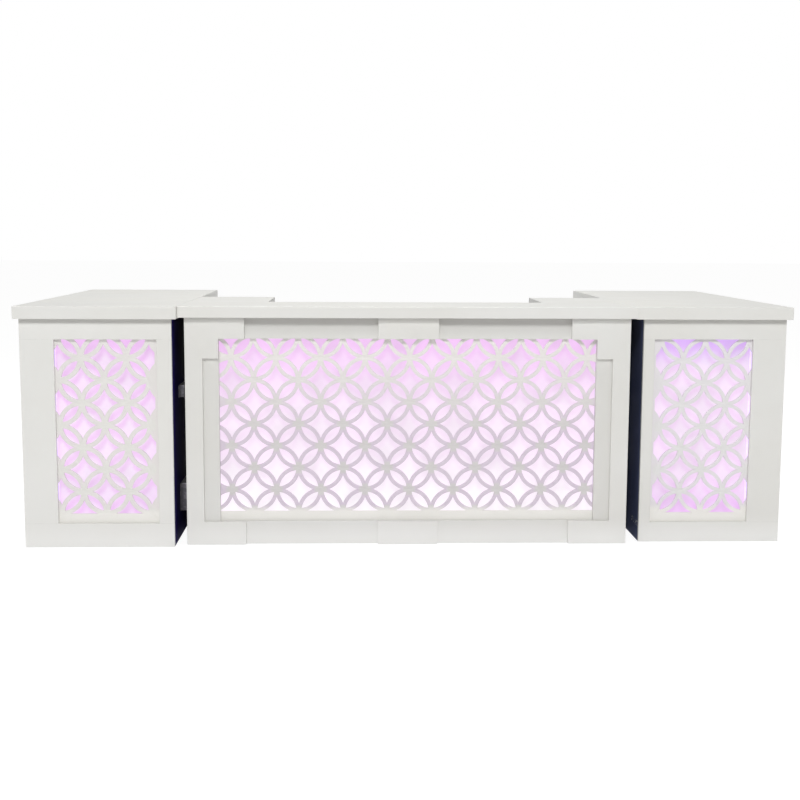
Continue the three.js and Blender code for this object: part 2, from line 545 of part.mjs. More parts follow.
// Wing module. Distances across it run outward from the end of its top that meets the centre.
function buildWing(prefix, side, sizes, startX) {
  const { innerOverhang, innerStile, bottomRail, band, supplySetback } = sizes;
  const module = new THREE.Group();
  const across = (low, high) => (side > 0 ? [startX + low, startX + high] : [-startX - high, -startX - low]);
  const underside = COUNTER_HEIGHT - WING_TOP_THICKNESS;
  const carcassTop = underside - JOINT_GAP;
  const bodyIn = innerOverhang;
  const windowIn = bodyIn + innerStile;
  const windowOut = windowIn + WING_WINDOW_WIDTH;
  const bodyOut = windowOut + WING_OUTER_STILE;
  const topWidth = bodyOut + WING_OUTER_OVERHANG;
  const topRear = WING_TOP_DEPTH - FRONT_OVERHANG;
  const bodyRear = topRear - WING_REAR_OVERHANG;
  const layers = frontLayers(0);
  const wingZ = [0, carcassTop];

  const slab = board(across(0, topWidth), [-FRONT_OVERHANG, topRear], [underside, COUNTER_HEIGHT]);
  addPiece(module, `${prefix}_counter_top`, whitePaint, slab);

  const windowX = across(windowIn, windowOut);
  const windowZ = [bottomRail, underside - WING_TOP_RAIL];
  const frame = frontFrame(across(bodyIn, bodyOut), wingZ, windowX, windowZ, layers.frame);
  addPiece(module, `${prefix}_front_frame`, whitePaint, frame);

  const fieldX = across(windowIn + WING_LATTICE_SHIFT, windowOut + WING_LATTICE_SHIFT);
  const fieldZ = [windowZ[0] + LATTICE_SILL, windowZ[1]];
  const lattice = latticePanel(windowX, windowZ, fieldX, fieldZ, middleOf(fieldX), band, layers.lattice);
  addPiece(module, `${prefix}_lattice_panel`, latticeWhite, lattice);
  addPiece(module, `${prefix}_led_strip`, stripWhite, lightStrip(windowX, windowZ, layers.strip));

  // Carcass spans
  const housed = GROOVE_DEPTH - JOINT_GAP;
  const innerFace = bodyIn + BOARD;
  const outerFace = bodyOut - BOARD;
  const sideY = [layers.carcass, bodyRear];
  const backY = [bodyRear - BOARD, bodyRear];
  const housedX = across(innerFace - housed, outerFace + housed);
  const clearX = across(innerFace + JOINT_GAP, outerFace - JOINT_GAP);
  const panelZ = [LIGHT_PANEL_CLEARANCE, carcassTop];
  const floorY = [layers.store, backY[0] - JOINT_GAP];
  const floorZ = spanFrom(FLOOR_SHELF_HEIGHT, BOARD);
  const dividerY = spanFrom(DIVIDER_SETBACK, BOARD);
  const dividerZ = [floorZ[1] + JOINT_GAP, carcassTop];
  const shelfY = [dividerY[1] - housed, backY[0] + housed];
  const shelves = [
    ["lower_shelf", spanFrom(WING_LOWER_SHELF_HEIGHT, BOARD)],
    ["upper_shelf", spanFrom(WING_UPPER_SHELF_HEIGHT, BOARD)],
  ];
  addPiece(module, `${prefix}_light_panel`, lightPanelWhite, board(housedX, layers.panel, panelZ));
  addPiece(module, `${prefix}_floor`, blackPaint, board(housedX, floorY, floorZ));
  for (const [name, z] of shelves) addPiece(module, `${prefix}_${name}`, blackPaint, board(clearX, shelfY, z));

  const shelfHousings = shelves.map(([, z]) => board(loosened(clearX), loosened(shelfY), loosened(z)));
  addPiece(module, `${prefix}_divider`, blackPaint, cut(board(housedX, dividerY, dividerZ), ...shelfHousings));
  addPiece(module, `${prefix}_back`, blackPaint, cut(board(clearX, backY, wingZ), ...shelfHousings));

  // Sides, housed for the light panel, the floor and the divider. The inner one opens onto the shelf bay.
  const housings = [
    board(loosened(housedX), loosened(layers.panel), [-1, COUNTER_HEIGHT]),
    board(loosened(housedX), loosened(floorY), loosened(floorZ)),
    board(loosened(housedX), loosened(dividerY), [floorZ[1], COUNTER_HEIGHT]),
  ];
  const outerSide = cut(board(across(outerFace, bodyOut), sideY, wingZ), ...housings);
  addPiece(module, `${prefix}_outer_side`, whitePaint, outerSide);

  const innerPlane = across(bodyIn, bodyIn)[0];
  const place = (y, z) => new THREE.Vector3(innerPlane, y, z);
  const out = axisX.clone().multiplyScalar(-side);
  const along = axisY.clone().multiplyScalar(-side);
  const bayY = [dividerY[1] + BAY_STILE, backY[0] - BAY_STILE];
  const bayZ = [floorZ[1], underside - BAY_TOP_RAIL];
  const bay = board(across(bodyIn - BOARD, innerFace + BOARD), bayY, bayZ);
  const switchPlace = place(dividerY[0] - SWITCH_SETBACK, underside - SWITCH_DROP);
  const hole = inletHole(switchPlace, along, axisZ, out);
  const innerSide = cut(board(across(bodyIn, innerFace), sideY, wingZ), ...housings, bay, hole);
  addPiece(module, `${prefix}_inner_side`, blackPaint, innerSide);
  addPowerInlet(module, prefix, switchPlace, along, axisZ, out);

  const supplies = [
    ["led_driver", DRIVER_LENGTH, DRIVER_HEIGHT, DRIVER_DEPTH, DRIVER_ELEVATION],
    ["led_controller", CONTROLLER_LENGTH, CONTROLLER_HEIGHT, CONTROLLER_DEPTH, CONTROLLER_ELEVATION],
  ];
  for (const [name, length, height, depth, elevation] of supplies) {
    const spot = place(supplySetback + PLATE_EAR + length / 2, elevation + height / 2);
    addSupply(module, `${prefix}_${name}`, supplyBox(length, height, depth), spot, along, axisZ, out);
  }
  return { module, topWidth };
}

// The three modules side by side, about the middle of the bar
const bar = new THREE.Group();
const centre = buildCentre();
const wingStart = centre.topHalf + BUTT_GAP;
const leftSizes = {
  innerOverhang: LEFT_INNER_OVERHANG,
  innerStile: LEFT_INNER_STILE,
  bottomRail: LEFT_BOTTOM_RAIL,
  band: LEFT_BAND,
  supplySetback: LEFT_SUPPLY_SETBACK,
};
const rightSizes = {
  innerOverhang: RIGHT_INNER_OVERHANG,
  innerStile: RIGHT_INNER_STILE,
  bottomRail: RIGHT_BOTTOM_RAIL,
  band: LATTICE_BAND,
  supplySetback: RIGHT_SUPPLY_SETBACK,
};
const left = buildWing("left_wing", -1, leftSizes, wingStart);
const right = buildWing("right_wing", 1, rightSizes, wingStart);
left.module.position.y = -LEFT_WING_ADVANCE;
right.module.position.y = RIGHT_WING_SETBACK;
const assembly = new THREE.Group();
assembly.add(centre.module, left.module, right.module);
const foremost = -FRONT_OVERHANG + Math.min(0, -LEFT_WING_ADVANCE, RIGHT_WING_SETBACK);
const rearmost = Math.max(-LEFT_WING_ADVANCE, RIGHT_WING_SETBACK) + WING_TOP_DEPTH - FRONT_OVERHANG;
assembly.position.set((left.topWidth - right.topWidth) / 2, -(foremost + rearmost) / 2, 0);
bar.add(assembly);

export default bar;
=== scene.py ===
import bpy
import bmesh
import math
from mathutils import Matrix, Vector


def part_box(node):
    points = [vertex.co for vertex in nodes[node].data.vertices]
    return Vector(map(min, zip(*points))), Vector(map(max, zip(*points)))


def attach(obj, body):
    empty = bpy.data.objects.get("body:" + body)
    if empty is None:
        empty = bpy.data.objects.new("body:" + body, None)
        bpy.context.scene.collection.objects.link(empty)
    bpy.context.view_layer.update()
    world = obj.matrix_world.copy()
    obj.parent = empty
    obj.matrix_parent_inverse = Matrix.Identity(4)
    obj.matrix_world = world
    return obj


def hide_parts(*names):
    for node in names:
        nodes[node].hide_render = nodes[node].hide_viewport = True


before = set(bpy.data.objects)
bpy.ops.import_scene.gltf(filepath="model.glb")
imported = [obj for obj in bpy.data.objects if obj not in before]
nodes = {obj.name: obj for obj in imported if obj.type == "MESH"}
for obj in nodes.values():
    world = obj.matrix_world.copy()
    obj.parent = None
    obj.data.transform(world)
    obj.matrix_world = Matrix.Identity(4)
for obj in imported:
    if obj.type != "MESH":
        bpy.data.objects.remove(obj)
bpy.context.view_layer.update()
wings = ("left_wing", "right_wing")
modules = ("centre", *wings)
scene = bpy.context.scene
print("frame loaded:", len(nodes), "pieces")


# camera, solved from the edges of the tops, frames and windows
photoView = {
    "place": (-0.231, -6.434, 1.3782),
    "turn": 0.0344,     # to the right of straight ahead
    "dip": 0.1282,      # below level
    "lean": 0.005,
    "lens": 57.6,
    "sensor": 36,
    "farEnd": 200,
}


def setCamera():
    turn, dip, lean = photoView["turn"], photoView["dip"], photoView["lean"]
    ahead = Vector((math.sin(turn), math.cos(turn), 0))
    side = Vector((math.cos(turn), -math.sin(turn), 0))
    upright = Vector((0, 0, 1))
    look = ahead * math.cos(dip) - upright * math.sin(dip)
    lift = ahead * math.sin(dip) + upright * math.cos(dip)
    right = side * math.cos(lean) + lift * math.sin(lean)
    above = lift * math.cos(lean) - side * math.sin(lean)
    camera = bpy.data.objects.new("camera", bpy.data.cameras.new("camera"))
    camera.data.lens = photoView["lens"]
    camera.data.sensor_width = photoView["sensor"]
    camera.data.clip_end = photoView["farEnd"]
    axes = Matrix((right, above, -look)).transposed()
    camera.matrix_world = Matrix.Translation(photoView["place"]) @ axes.to_4x4()
    scene.collection.objects.link(camera)
    scene.camera = camera


setCamera()
print("camera set")


# small helpers for shader nodes
def feed(tree, value, socket):
    if isinstance(value, bpy.types.NodeSocket):
        tree.links.new(value, socket)
    elif value is not None:
        socket.default_value = value


def wire(tree, node, values):
    for label, value in values.items():
        feed(tree, value, node.inputs[label])


def math2(tree, what, a, b=None, clamp=False):
    node = tree.nodes.new("ShaderNodeMath")
    node.operation = what
    node.use_clamp = clamp
    feed(tree, a, node.inputs[0])
    feed(tree, b, node.inputs[1])
    return node.outputs[0]


def times(tree, a, b, clamp=False):
    return math2(tree, "MULTIPLY", a, b, clamp)


def plus(tree, a, b):
    return math2(tree, "ADD", a, b)


def blend(tree, a, shareA, b, shareB):
    return plus(tree, times(tree, a, shareA), times(tree, b, shareB))


def newMaterial(name):
    material = bpy.data.materials.new(name)
    material.use_nodes = True
    tree = material.node_tree
    return material, tree, tree.nodes["Principled BSDF"]


# studio: white room light, a soft key high in front, weak lights above and at the sides, pale floor
studio = {
    "roomLight": 0.36,
    "roomColor": (1.0, 0.995, 0.98, 1),
    "lights": [
        {"name": "keyLight", "spot": (-0.9, -13.6, 9.8), "aim": (0.0, -0.7, 0.6), "size": 4.0, "power": 1085},
        {"name": "topLight", "spot": (0, 0.2, 5.2), "aim": (0, 0, 1), "size": 3.5, "power": 120},
        {"name": "sideLight", "spot": (-6.0, 3.5, 2.2), "aim": (0, 0.2, 1.0), "size": 1.5, "power": 110},
        {"name": "sideLight", "spot": (6.0, 3.5, 2.2), "aim": (0, 0.2, 1.0), "size": 1.5, "power": 110},
    ],
    "floorColor": (0.94, 0.94, 0.94, 1),
    "floorRough": 0.8,
    "floorShine": 0.1,
    "floorReach": 60,
    "floorDrop": 0.0005,    # just under the boards that stand on it
    "floorWhite": 1.12,     # how white the floor looks to the camera
    "floorShare": 0.82,     # the rest is its own shade, so a faint shadow stays
}


def lookMix(tree, shade, white, share):
    # a plain white to the camera, and the true surface to everything else
    path = tree.nodes.new("ShaderNodeLightPath")
    seen = times(tree, path.outputs["Is Camera Ray"], share)
    mix = tree.nodes.new("ShaderNodeMixShader")
    tree.links.new(seen, mix.inputs["Fac"])
    tree.links.new(shade, mix.inputs[1])
    tree.links.new(white, mix.inputs[2])
    return mix.outputs["Shader"]


def setRoom():
    world = bpy.data.worlds.new("whiteRoom")
    scene.world = world
    world.use_nodes = True
    tree = world.node_tree
    lit = tree.nodes["Background"]
    lit.inputs["Color"].default_value = studio["roomColor"]
    lit.inputs["Strength"].default_value = studio["roomLight"]
    white = tree.nodes.new("ShaderNodeBackground")
    white.inputs["Color"].default_value = (1, 1, 1, 1)
    shown = lookMix(tree, lit.outputs[0], white.outputs[0], 1.0)
    tree.links.new(shown, tree.nodes["World Output"].inputs["Surface"])
    scene.view_settings.view_transform = "Standard"
    scene.view_settings.look = "None"


def softbox(name, spot, aim, size, power):
    lamp = bpy.data.lights.new(name, "AREA")
    lamp.shape = "DISK"
    lamp.size = size
    lamp.energy = power
    holder = bpy.data.objects.new(name, lamp)
    holder.location = spot
    holder.rotation_euler = (Vector(aim) - Vector(spot)).to_track_quat("-Z", "Y").to_euler()
    scene.collection.objects.link(holder)


def layFloor():
    mesh = bpy.data.meshes.new("floor")
    reach = studio["floorReach"]
    corners = [(-reach, -reach, 0), (reach, -reach, 0), (reach, reach, 0), (-reach, reach, 0)]
    mesh.from_pydata(corners, [], [(0, 1, 2, 3)])
    floor = bpy.data.objects.new("floor", mesh)
    floor.location.z = -studio["floorDrop"]
    scene.collection.objects.link(floor)
    pale, tree, shader = newMaterial("paleFloor")
    wire(tree, shader, {
        "Base Color": studio["floorColor"],
        "Roughness": studio["floorRough"],
        "Specular IOR Level": studio["floorShine"],
    })
    white = tree.nodes.new("ShaderNodeEmission")
    white.inputs["Strength"].default_value = studio["floorWhite"]
    shown = lookMix(tree, shader.outputs[0], white.outputs[0], studio["floorShare"])
    tree.links.new(shown, tree.nodes["Material Output"].inputs["Surface"])
    mesh.materials.append(pale)


def setStudio():
    setRoom()
    for light in studio["lights"]:
        softbox(**light)
    layFloor()


setStudio()
print("studio set")


# shared shader node groups
def newGroup(name, ins, *outs):
    group = bpy.data.node_groups.new(name, "ShaderNodeTree")
    for label, default in ins.items():
        kind = "NodeSocketColor" if isinstance(default, tuple) else "NodeSocketFloat"
        socket = group.interface.new_socket(label, in_out="INPUT", socket_type=kind)
        socket.default_value = default
    for label in outs:
        kind = "NodeSocketColor" if label == "Color" else "NodeSocketFloat"
        group.interface.new_socket(label, in_out="OUTPUT", socket_type=kind)
    ends = group.nodes.new("NodeGroupInput"), group.nodes.new("NodeGroupOutput")
    return group, ends[0].outputs, ends[1].inputs


def ramp(tree, value, low, high, toLow=0.0, toHigh=1.0):
    node = tree.nodes.new("ShaderNodeMapRange")
    node.interpolation_type = "SMOOTHSTEP"
    for socket, number in zip(node.inputs, (value, low, high, toLow, toHigh)):
        feed(tree, number, socket)
    return node.outputs[0]


def noise(tree, where, scale, detail=2.0, rough=0.5):
    node = tree.nodes.new("ShaderNodeTexNoise")
    wire(tree, node, {"Vector": where, "Scale": scale, "Detail": detail, "Roughness": rough})
    return node.outputs["Fac"]


def stretched(tree, where, factors, turn=(0, 0, 0)):
    node = tree.nodes.new("ShaderNodeMapping")
    wire(tree, node, {"Vector": where, "Rotation": turn, "Scale": factors})
    return node.outputs["Vector"]


def mixColor(tree, amount, a, b):
    node = tree.nodes.new("ShaderNodeMix")
    node.data_type = "RGBA"
    wire(tree, node, {"Factor": amount, "A": a, "B": b})
    return node.outputs["Result"]


def objectPoint(tree):
    return tree.nodes.new("ShaderNodeTexCoord").outputs["Object"]


def trueNormal(tree):
    return tree.nodes.new("ShaderNodeNewGeometry").outputs["Normal"]


def splitXyz(tree, vector):
    node = tree.nodes.new("ShaderNodeSeparateXYZ")
    tree.links.new(vector, node.inputs[0])
    return node.outputs


def makeSprayCoat():
    # fine orange peel of sprayed paint, and slow drift of its shade
    group, ins, outs = newGroup("sprayCoat", {"Peel Scale": 420.0, "Drift Scale": 1.6}, "Height", "Drift")
    where = objectPoint(group)
    fine = noise(group, where, ins["Peel Scale"], 1.0)
    coarse = noise(group, where, times(group, ins["Peel Scale"], 0.22), 2.0)
    height = blend(group, fine, 0.4, coarse, 0.6)
    drift = noise(group, where, ins["Drift Scale"], 4.0, 0.55)
    group.links.new(height, outs["Height"])
    group.links.new(ramp(group, drift, 0.3, 0.7), outs["Drift"])
    return group


def makeEdgeRub():
    # wear along corners, broken up so that it comes and goes
    group, ins, outs = newGroup("edgeRub", {"Width": 0.003, "Patch Scale": 14.0, "Amount": 0.5}, "Mask")
    soft = group.nodes.new("ShaderNodeBevel")
    soft.samples = 4
    group.links.new(ins["Width"], soft.inputs["Radius"])
    dot = group.nodes.new("ShaderNodeVectorMath")
    dot.operation = "DOT_PRODUCT"
    group.links.new(soft.outputs["Normal"], dot.inputs[0])
    group.links.new(trueNormal(group), dot.inputs[1])
    edge = ramp(group, dot.outputs["Value"], 0.985, 0.86)
    where = objectPoint(group)
    patch = noise(group, where, ins["Patch Scale"], 5.0, 0.65)
    low = math2(group, "SUBTRACT", 0.95, times(group, ins["Amount"], 0.6))
    broken = ramp(group, patch, low, plus(group, low, 0.12))
    group.links.new(times(group, edge, broken), outs["Mask"])
    return group


def makeFloorScuff():
    # grey marks that shoes and trolleys leave near the floor
    group, ins, outs = newGroup("floorScuff", {"Reach": 0.16, "Amount": 0.5}, "Mask")
    where = objectPoint(group)
    split = splitXyz(group, where)
    low = ramp(group, split["Z"], 0.0, ins["Reach"], 1.0, 0.0)
    streak = noise(group, stretched(group, where, (9, 9, 70)), 1.0, 6.0, 0.7)
    marks = ramp(group, streak, 0.56, 0.74)
    haze = ramp(group, noise(group, where, 5.0, 4.0), 0.35, 0.75)
    both = blend(group, marks, 0.7, haze, 0.35)
    near = times(group, times(group, low, low), both)
    group.links.new(times(group, near, ins["Amount"], True), outs["Mask"])
    return group


def makeDustFilm():
    # thin dust on what faces up
    group, ins, outs = newGroup("dustFilm", {"Amount": 0.4, "Patch Scale": 7.0}, "Mask")
    split = splitXyz(group, trueNormal(group))
    facing = ramp(group, split["Z"], 0.6, 0.95)
    where = objectPoint(group)
    patch = ramp(group, noise(group, where, ins["Patch Scale"], 6.0, 0.6), 0.3, 0.75)
    speck = ramp(group, noise(group, where, 900.0, 1.0), 0.62, 0.75)
    film = blend(group, patch, 0.75, speck, 0.4)
    full = times(group, times(group, facing, film), ins["Amount"], True)
    group.links.new(full, outs["Mask"])
    return group


def makeHairlines():
    # fine rubbed lines along one direction and a few stray scratches
    group, ins, outs = newGroup("hairlines", {"Amount": 0.5}, "Mask", "Height")
    where = objectPoint(group)
    lines = noise(group, stretched(group, where, (12, 12, 900)), 1.0, 3.0, 0.6)
    turned = stretched(group, where, (5, 160, 5), (0.5, 0.35, 0.9))
    stray = ramp(group, noise(group, turned, 1.0, 4.0, 0.6), 0.68, 0.74)
    group.links.new(times(group, stray, ins["Amount"]), outs["Mask"])
    group.links.new(lines, outs["Height"])
    return group


def makeUnderTop():
    # band close under an overhanging top, which stands in for part of its shadow
    group, ins, outs = newGroup("underTop", {"Top": 1.0, "Reach": 0.02, "Amount": 0.36}, "Mask")
    split = splitXyz(group, objectPoint(group))
    below = math2(group, "SUBTRACT", ins["Top"], split["Z"])
    inner = times(group, ins["Reach"], 0.45)
    band = ramp(group, below, inner, ins["Reach"], 1.0, 0.0)
    group.links.new(times(group, band, ins["Amount"]), outs["Mask"])
    return group


def makeButtJoint():
    # hairline where a frame's stile meets its rails, above and below the window
    group, ins, outs = newGroup("buttJoint", {"Low": 0.1, "High": 0.9, "Left": -0.5, "Right": 0.5}, "Mask")
    where = objectPoint(group)
    split = splitXyz(group, where)
    lines = []
    for level in ("Low", "High"):
        away = math2(group, "ABSOLUTE", math2(group, "SUBTRACT", split["Z"], ins[level]))
        lines.append(ramp(group, away, 0.0002, 0.0012, 1.0, 0.0))
    leftOf = math2(group, "LESS_THAN", split["X"], ins["Left"])
    rightOf = math2(group, "GREATER_THAN", split["X"], ins["Right"])
    beside = plus(group, leftOf, rightOf)
    broken = ramp(group, noise(group, where, 26.0, 3.0), 0.34, 0.6)
    line = times(group, math2(group, "MAXIMUM", *lines), broken)
    group.links.new(times(group, line, beside, True), outs["Mask"])
    return group


sprayCoat = makeSprayCoat()
edgeRub = makeEdgeRub()
floorScuff = makeFloorScuff()
dustFilm = makeDustFilm()
hairlines = makeHairlines()
buttJoint = makeButtJoint()
underTop = makeUnderTop()


def place(tree, group, **values):
    node = tree.nodes.new("ShaderNodeGroup")
    node.node_tree = group
    wire(tree, node, values)
    return node.outputs


def sprayed(tree, peel=420.0, drift=1.6):
    return place(tree, sprayCoat, **{"Peel Scale": peel, "Drift Scale": drift})


def bump(tree, shader, height, strength, distance):
    node = tree.nodes.new("ShaderNodeBump")
    wire(tree, node, {"Strength": strength, "Distance": distance, "Height": height})
    tree.links.new(node.outputs["Normal"], shader.inputs["Normal"])


# finishes
whitePaint = {
    "clean": (0.80, 0.80, 0.775, 1),
    "warm": (0.765, 0.76, 0.725, 1),
    "scuff": (0.42, 0.41, 0.39, 1),
    "core": (0.50, 0.43, 0.34, 1),   # board under the paint
    "dust": (0.66, 0.65, 0.62, 1),
    "floorLit": (0.875, 0.875, 0.855, 1),   # stands in for light that a white floor throws up
    "floorLitTop": 0.13,
    "rub": {"Width": 0.0035, "Amount": 0.45},
    "marks": {"Reach": 0.09, "Amount": 0.07},
    "film": {"Amount": 0.22},
    "rubShare": 0.55,
    "jointShare": 0.25,
    "jointDepth": 2.0,
    "rough": 0.36,
    "peel": (0.12, 0.0006),     # bump strength and distance
}
blackPaint = {
    "deep": (0.006, 0.006, 0.012, 1),
    "faded": (0.016, 0.0165, 0.027, 1),
    "leftPaintedSheen": (0.028, 0.018, 0.170, 1),      # painted blue sheen toward the front, as photographed
    "rightPaintedSheen": (0.150, 0.178, 0.340, 1),
    "fade": (-0.62, -0.30),
    "scuff": (0.30, 0.30, 0.31, 1),
    "core": (0.23, 0.17, 0.12, 1),
    "dust": (0.22, 0.22, 0.22, 1),
    "primer": (0.85, 0.85, 0.85, 1),
    "coat": (300.0, 2.2),       # peel and drift scales
    "rub": {"Width": 0.003, "Amount": 0.75},
    "marks": {"Reach": 0.12, "Amount": 0.5},
    "film": {"Amount": 0.35},
    "lines": {"Amount": 0.5},
    "lineShare": 0.5,
    "rough": 0.46,
    "shine": 0.12,
    "frontShine": 0.03,
    "peel": (0.2, 0.0008),
}


def makeWhitePaint(name, window=None, shade=1.0, under=()):
    material, tree, shader = newMaterial(name)
    coat = sprayed(tree)
    rub = place(tree, edgeRub, **whitePaint["rub"])
    scuff = place(tree, floorScuff, **whitePaint["marks"])
    dust = place(tree, dustFilm, **whitePaint["film"])
    clean, warm = [tuple(c * shade for c in whitePaint[tone][:3]) + (1,) for tone in ("clean", "warm")]
    color = mixColor(tree, coat["Drift"], clean, warm)
    low = ramp(tree, splitXyz(tree, objectPoint(tree))["Z"], whitePaint["floorLitTop"], 0.0)
    color = mixColor(tree, low, color, whitePaint["floorLit"])
    color = mixColor(tree, dust["Mask"], color, whitePaint["dust"])
    color = mixColor(tree, scuff["Mask"], color, whitePaint["scuff"])
    color = mixColor(tree, times(tree, rub["Mask"], whitePaint["rubShare"]), color, whitePaint["core"])
    # painted shade under the overhanging top, mixed toward the scuff grey
    for band in under:
        paintedShade = place(tree, underTop, **band)
        color = mixColor(tree, paintedShade["Mask"], color, whitePaint["scuff"])
    height = coat["Height"]
    if window:
        joint = place(tree, buttJoint, **window)
        line = times(tree, joint["Mask"], whitePaint["jointShare"])
        color = mixColor(tree, line, color, whitePaint["scuff"])
        height = math2(tree, "SUBTRACT", height, times(tree, joint["Mask"], whitePaint["jointDepth"]))
    worn = blend(tree, coat["Drift"], 0.1, scuff["Mask"], 0.3)
    wire(tree, shader, {"Base Color": color, "Roughness": plus(tree, worn, whitePaint["rough"])})
    bump(tree, shader, height, *whitePaint["peel"])
    return material


# a row of paint chips low at the front
chipRow = {"low": 0.066, "high": 0.092, "front": -0.755, "back": -0.63}


def chipMask(tree):
    where = objectPoint(tree)
    split = splitXyz(tree, where)
    inside = None
    for axis, low, high in (("Z", "low", "high"), ("Y", "front", "back")):
        over = math2(tree, "GREATER_THAN", split[axis], chipRow[low])
        under = math2(tree, "LESS_THAN", split[axis], chipRow[high])
        both = times(tree, over, under)
        inside = both if inside is None else times(tree, inside, both)
    specks = ramp(tree, noise(tree, stretched(tree, where, (1, 0.7, 1)), 110.0, 3.0, 0.6), 0.565, 0.59)
    return times(tree, inside, specks)


def makeBlackPaint(name, paintedSheen=None, chipped=False):
    material, tree, shader = newMaterial(name)
    coat = sprayed(tree, *blackPaint["coat"])
    rub = place(tree, edgeRub, **blackPaint["rub"])
    scuff = place(tree, floorScuff, **blackPaint["marks"])
    dust = place(tree, dustFilm, **blackPaint["film"])
    lines = place(tree, hairlines, **blackPaint["lines"])
    color = mixColor(tree, coat["Drift"], blackPaint["deep"], blackPaint["faded"])
    # painted blue sheen, fading out toward the back
    if paintedSheen:
        depth = splitXyz(tree, objectPoint(tree))["Y"]
        front = ramp(tree, depth, *blackPaint["fade"], 1.0, 0.0)
        uneven = ramp(tree, coat["Drift"], 0.0, 1.0, 0.75, 1.0)
        color = mixColor(tree, times(tree, front, uneven), color, blackPaint[paintedSheen])
    color = mixColor(tree, dust["Mask"], color, blackPaint["dust"])
    color = mixColor(tree, times(tree, lines["Mask"], blackPaint["lineShare"]), color, blackPaint["scuff"])
    color = mixColor(tree, scuff["Mask"], color, blackPaint["scuff"])
    color = mixColor(tree, rub["Mask"], color, blackPaint["core"])
    if chipped:
        color = mixColor(tree, chipMask(tree), color, blackPaint["primer"])
    worn = blend(tree, coat["Drift"], 0.12, dust["Mask"], 0.3)
    wire(tree, shader, {
        "Base Color": color,
        "Roughness": plus(tree, worn, blackPaint["rough"]),
        "Specular IOR Level": blackPaint["frontShine" if paintedSheen else "shine"],
    })
    bump(tree, shader, coat["Height"], *blackPaint["peel"])
    return material


whiteFinish = makeWhitePaint("whitePaint")
blackFinish = makeBlackPaint("blackPaint")
print("paints made")


# lattice sheets: cream paint, with a painted lilac glow low on the wide centre and painted shade, greyer,
# where bars cross
latticePaint = {
    "centre": {
        "high": (0.83, 0.805, 0.785, 1), "low": (0.685, 0.60, 0.70, 1), "knot": (0.655, 0.635, 0.63, 1),
    },
    "left_wing": {
        "high": (0.80, 0.78, 0.76, 1), "low": (0.80, 0.77, 0.76, 1), "knot": (0.79, 0.785, 0.75, 1),
    },
    "right_wing": {
        "high": (0.80, 0.78, 0.80, 1), "low": (0.80, 0.77, 0.80, 1), "knot": (0.78, 0.775, 0.77, 1),
    },
    "sill": (0.88, 0.87, 0.83, 1),
}
latticeFade = {"down": (0.88, 0.46), "sill": (0.142, 0.176), "knots": (0.45, 0.9), "warmShare": 0.12}


def makeLatticePaint(module, crossX, crossZ, step):
    material, tree, shader = newMaterial(module + "LatticePaint")
    coat = sprayed(tree, 520.0, 3.0)
    colors = latticePaint[module]
    split = splitXyz(tree, objectPoint(tree))
    # painted light and shade: lilac glow lower down, greyer where bars cross
    down = ramp(tree, split["Z"], *latticeFade["down"])
    overSill = ramp(tree, split["Z"], *latticeFade["sill"])
    waves = []
    for axis, start in (("X", crossX), ("Z", crossZ)):
        along = times(tree, math2(tree, "SUBTRACT", split[axis], start), math.pi / step)
        waves.append(math2(tree, "COSINE", along))
    knots = ramp(tree, times(tree, *waves), *latticeFade["knots"])    # 1 where bars cross
    low = mixColor(tree, knots, colors["low"], colors["knot"])
    color = mixColor(tree, down, colors["high"], low)
    color = mixColor(tree, overSill, latticePaint["sill"], color)
    color = mixColor(tree, times(tree, coat["Drift"], latticeFade["warmShare"]), color, whitePaint["warm"])
    rough = plus(tree, times(tree, coat["Drift"], 0.12), 0.42)
    wire(tree, shader, {"Base Color": color, "Roughness": rough})
    bump(tree, shader, coat["Height"], 0.1, 0.0005)
    return material


# lit sheets behind the lattices
def makeLightSpread():
    # three colours up the sheet's front, with the soft patches that single lamps leave
    group, ins, outs = newGroup(
        "lightSpread",
        {"Low": (1.0, 1.0, 1.0, 1), "Middle": (1.0, 1.0, 1.0, 1), "High": (1.0, 1.0, 1.0, 1),
         "Bottom": 0.1, "Centre": 0.5, "Shoulder": 0.5, "Top": 0.92, "Patch": 0.12},
        "Color", "Front")
    where = objectPoint(group)
    split = splitXyz(group, where)
    lower = ramp(group, split["Z"], ins["Bottom"], ins["Centre"])
    upper = ramp(group, split["Z"], ins["Shoulder"], ins["Top"])
    color = mixColor(group, lower, ins["Low"], ins["Middle"])
    color = mixColor(group, upper, color, ins["High"])
    patch = ramp(group, noise(group, where, 9.0, 2.0), 0.3, 0.75)
    shade = math2(group, "SUBTRACT", 1.0, times(group, patch, ins["Patch"]))
    facing = splitXyz(group, trueNormal(group))
    front = math2(group, "LESS_THAN", facing["Y"], -0.5)
    dim = group.nodes.new("ShaderNodeVectorMath")
    dim.operation = "SCALE"
    group.links.new(color, dim.inputs[0])
    group.links.new(times(group, shade, front), dim.inputs["Scale"])
    group.links.new(dim.outputs["Vector"], outs["Color"])
    group.links.new(front, outs["Front"])
    return group


lightSpread = makeLightSpread()
litSheets = {
    "centre": {
        "Low": (0.975, 0.805, 0.975, 1), "Middle": (0.935, 0.685, 0.94, 1), "High": (0.865, 0.475, 0.895, 1),
    },
    "left_wing": {
        "Low": (0.77, 0.36, 0.83, 1), "Middle": (0.81, 0.385, 0.855, 1), "High": (0.775, 0.335, 0.825, 1),
    },
    "right_wing": {
        "Low": (0.79, 0.39, 0.86, 1), "Middle": (0.84, 0.51, 0.87, 1), "High": (0.65, 0.31, 0.88, 1),
        "Bottom": 0.12, "Centre": 0.30, "Shoulder": 0.76, "Top": 0.93,
    },
}
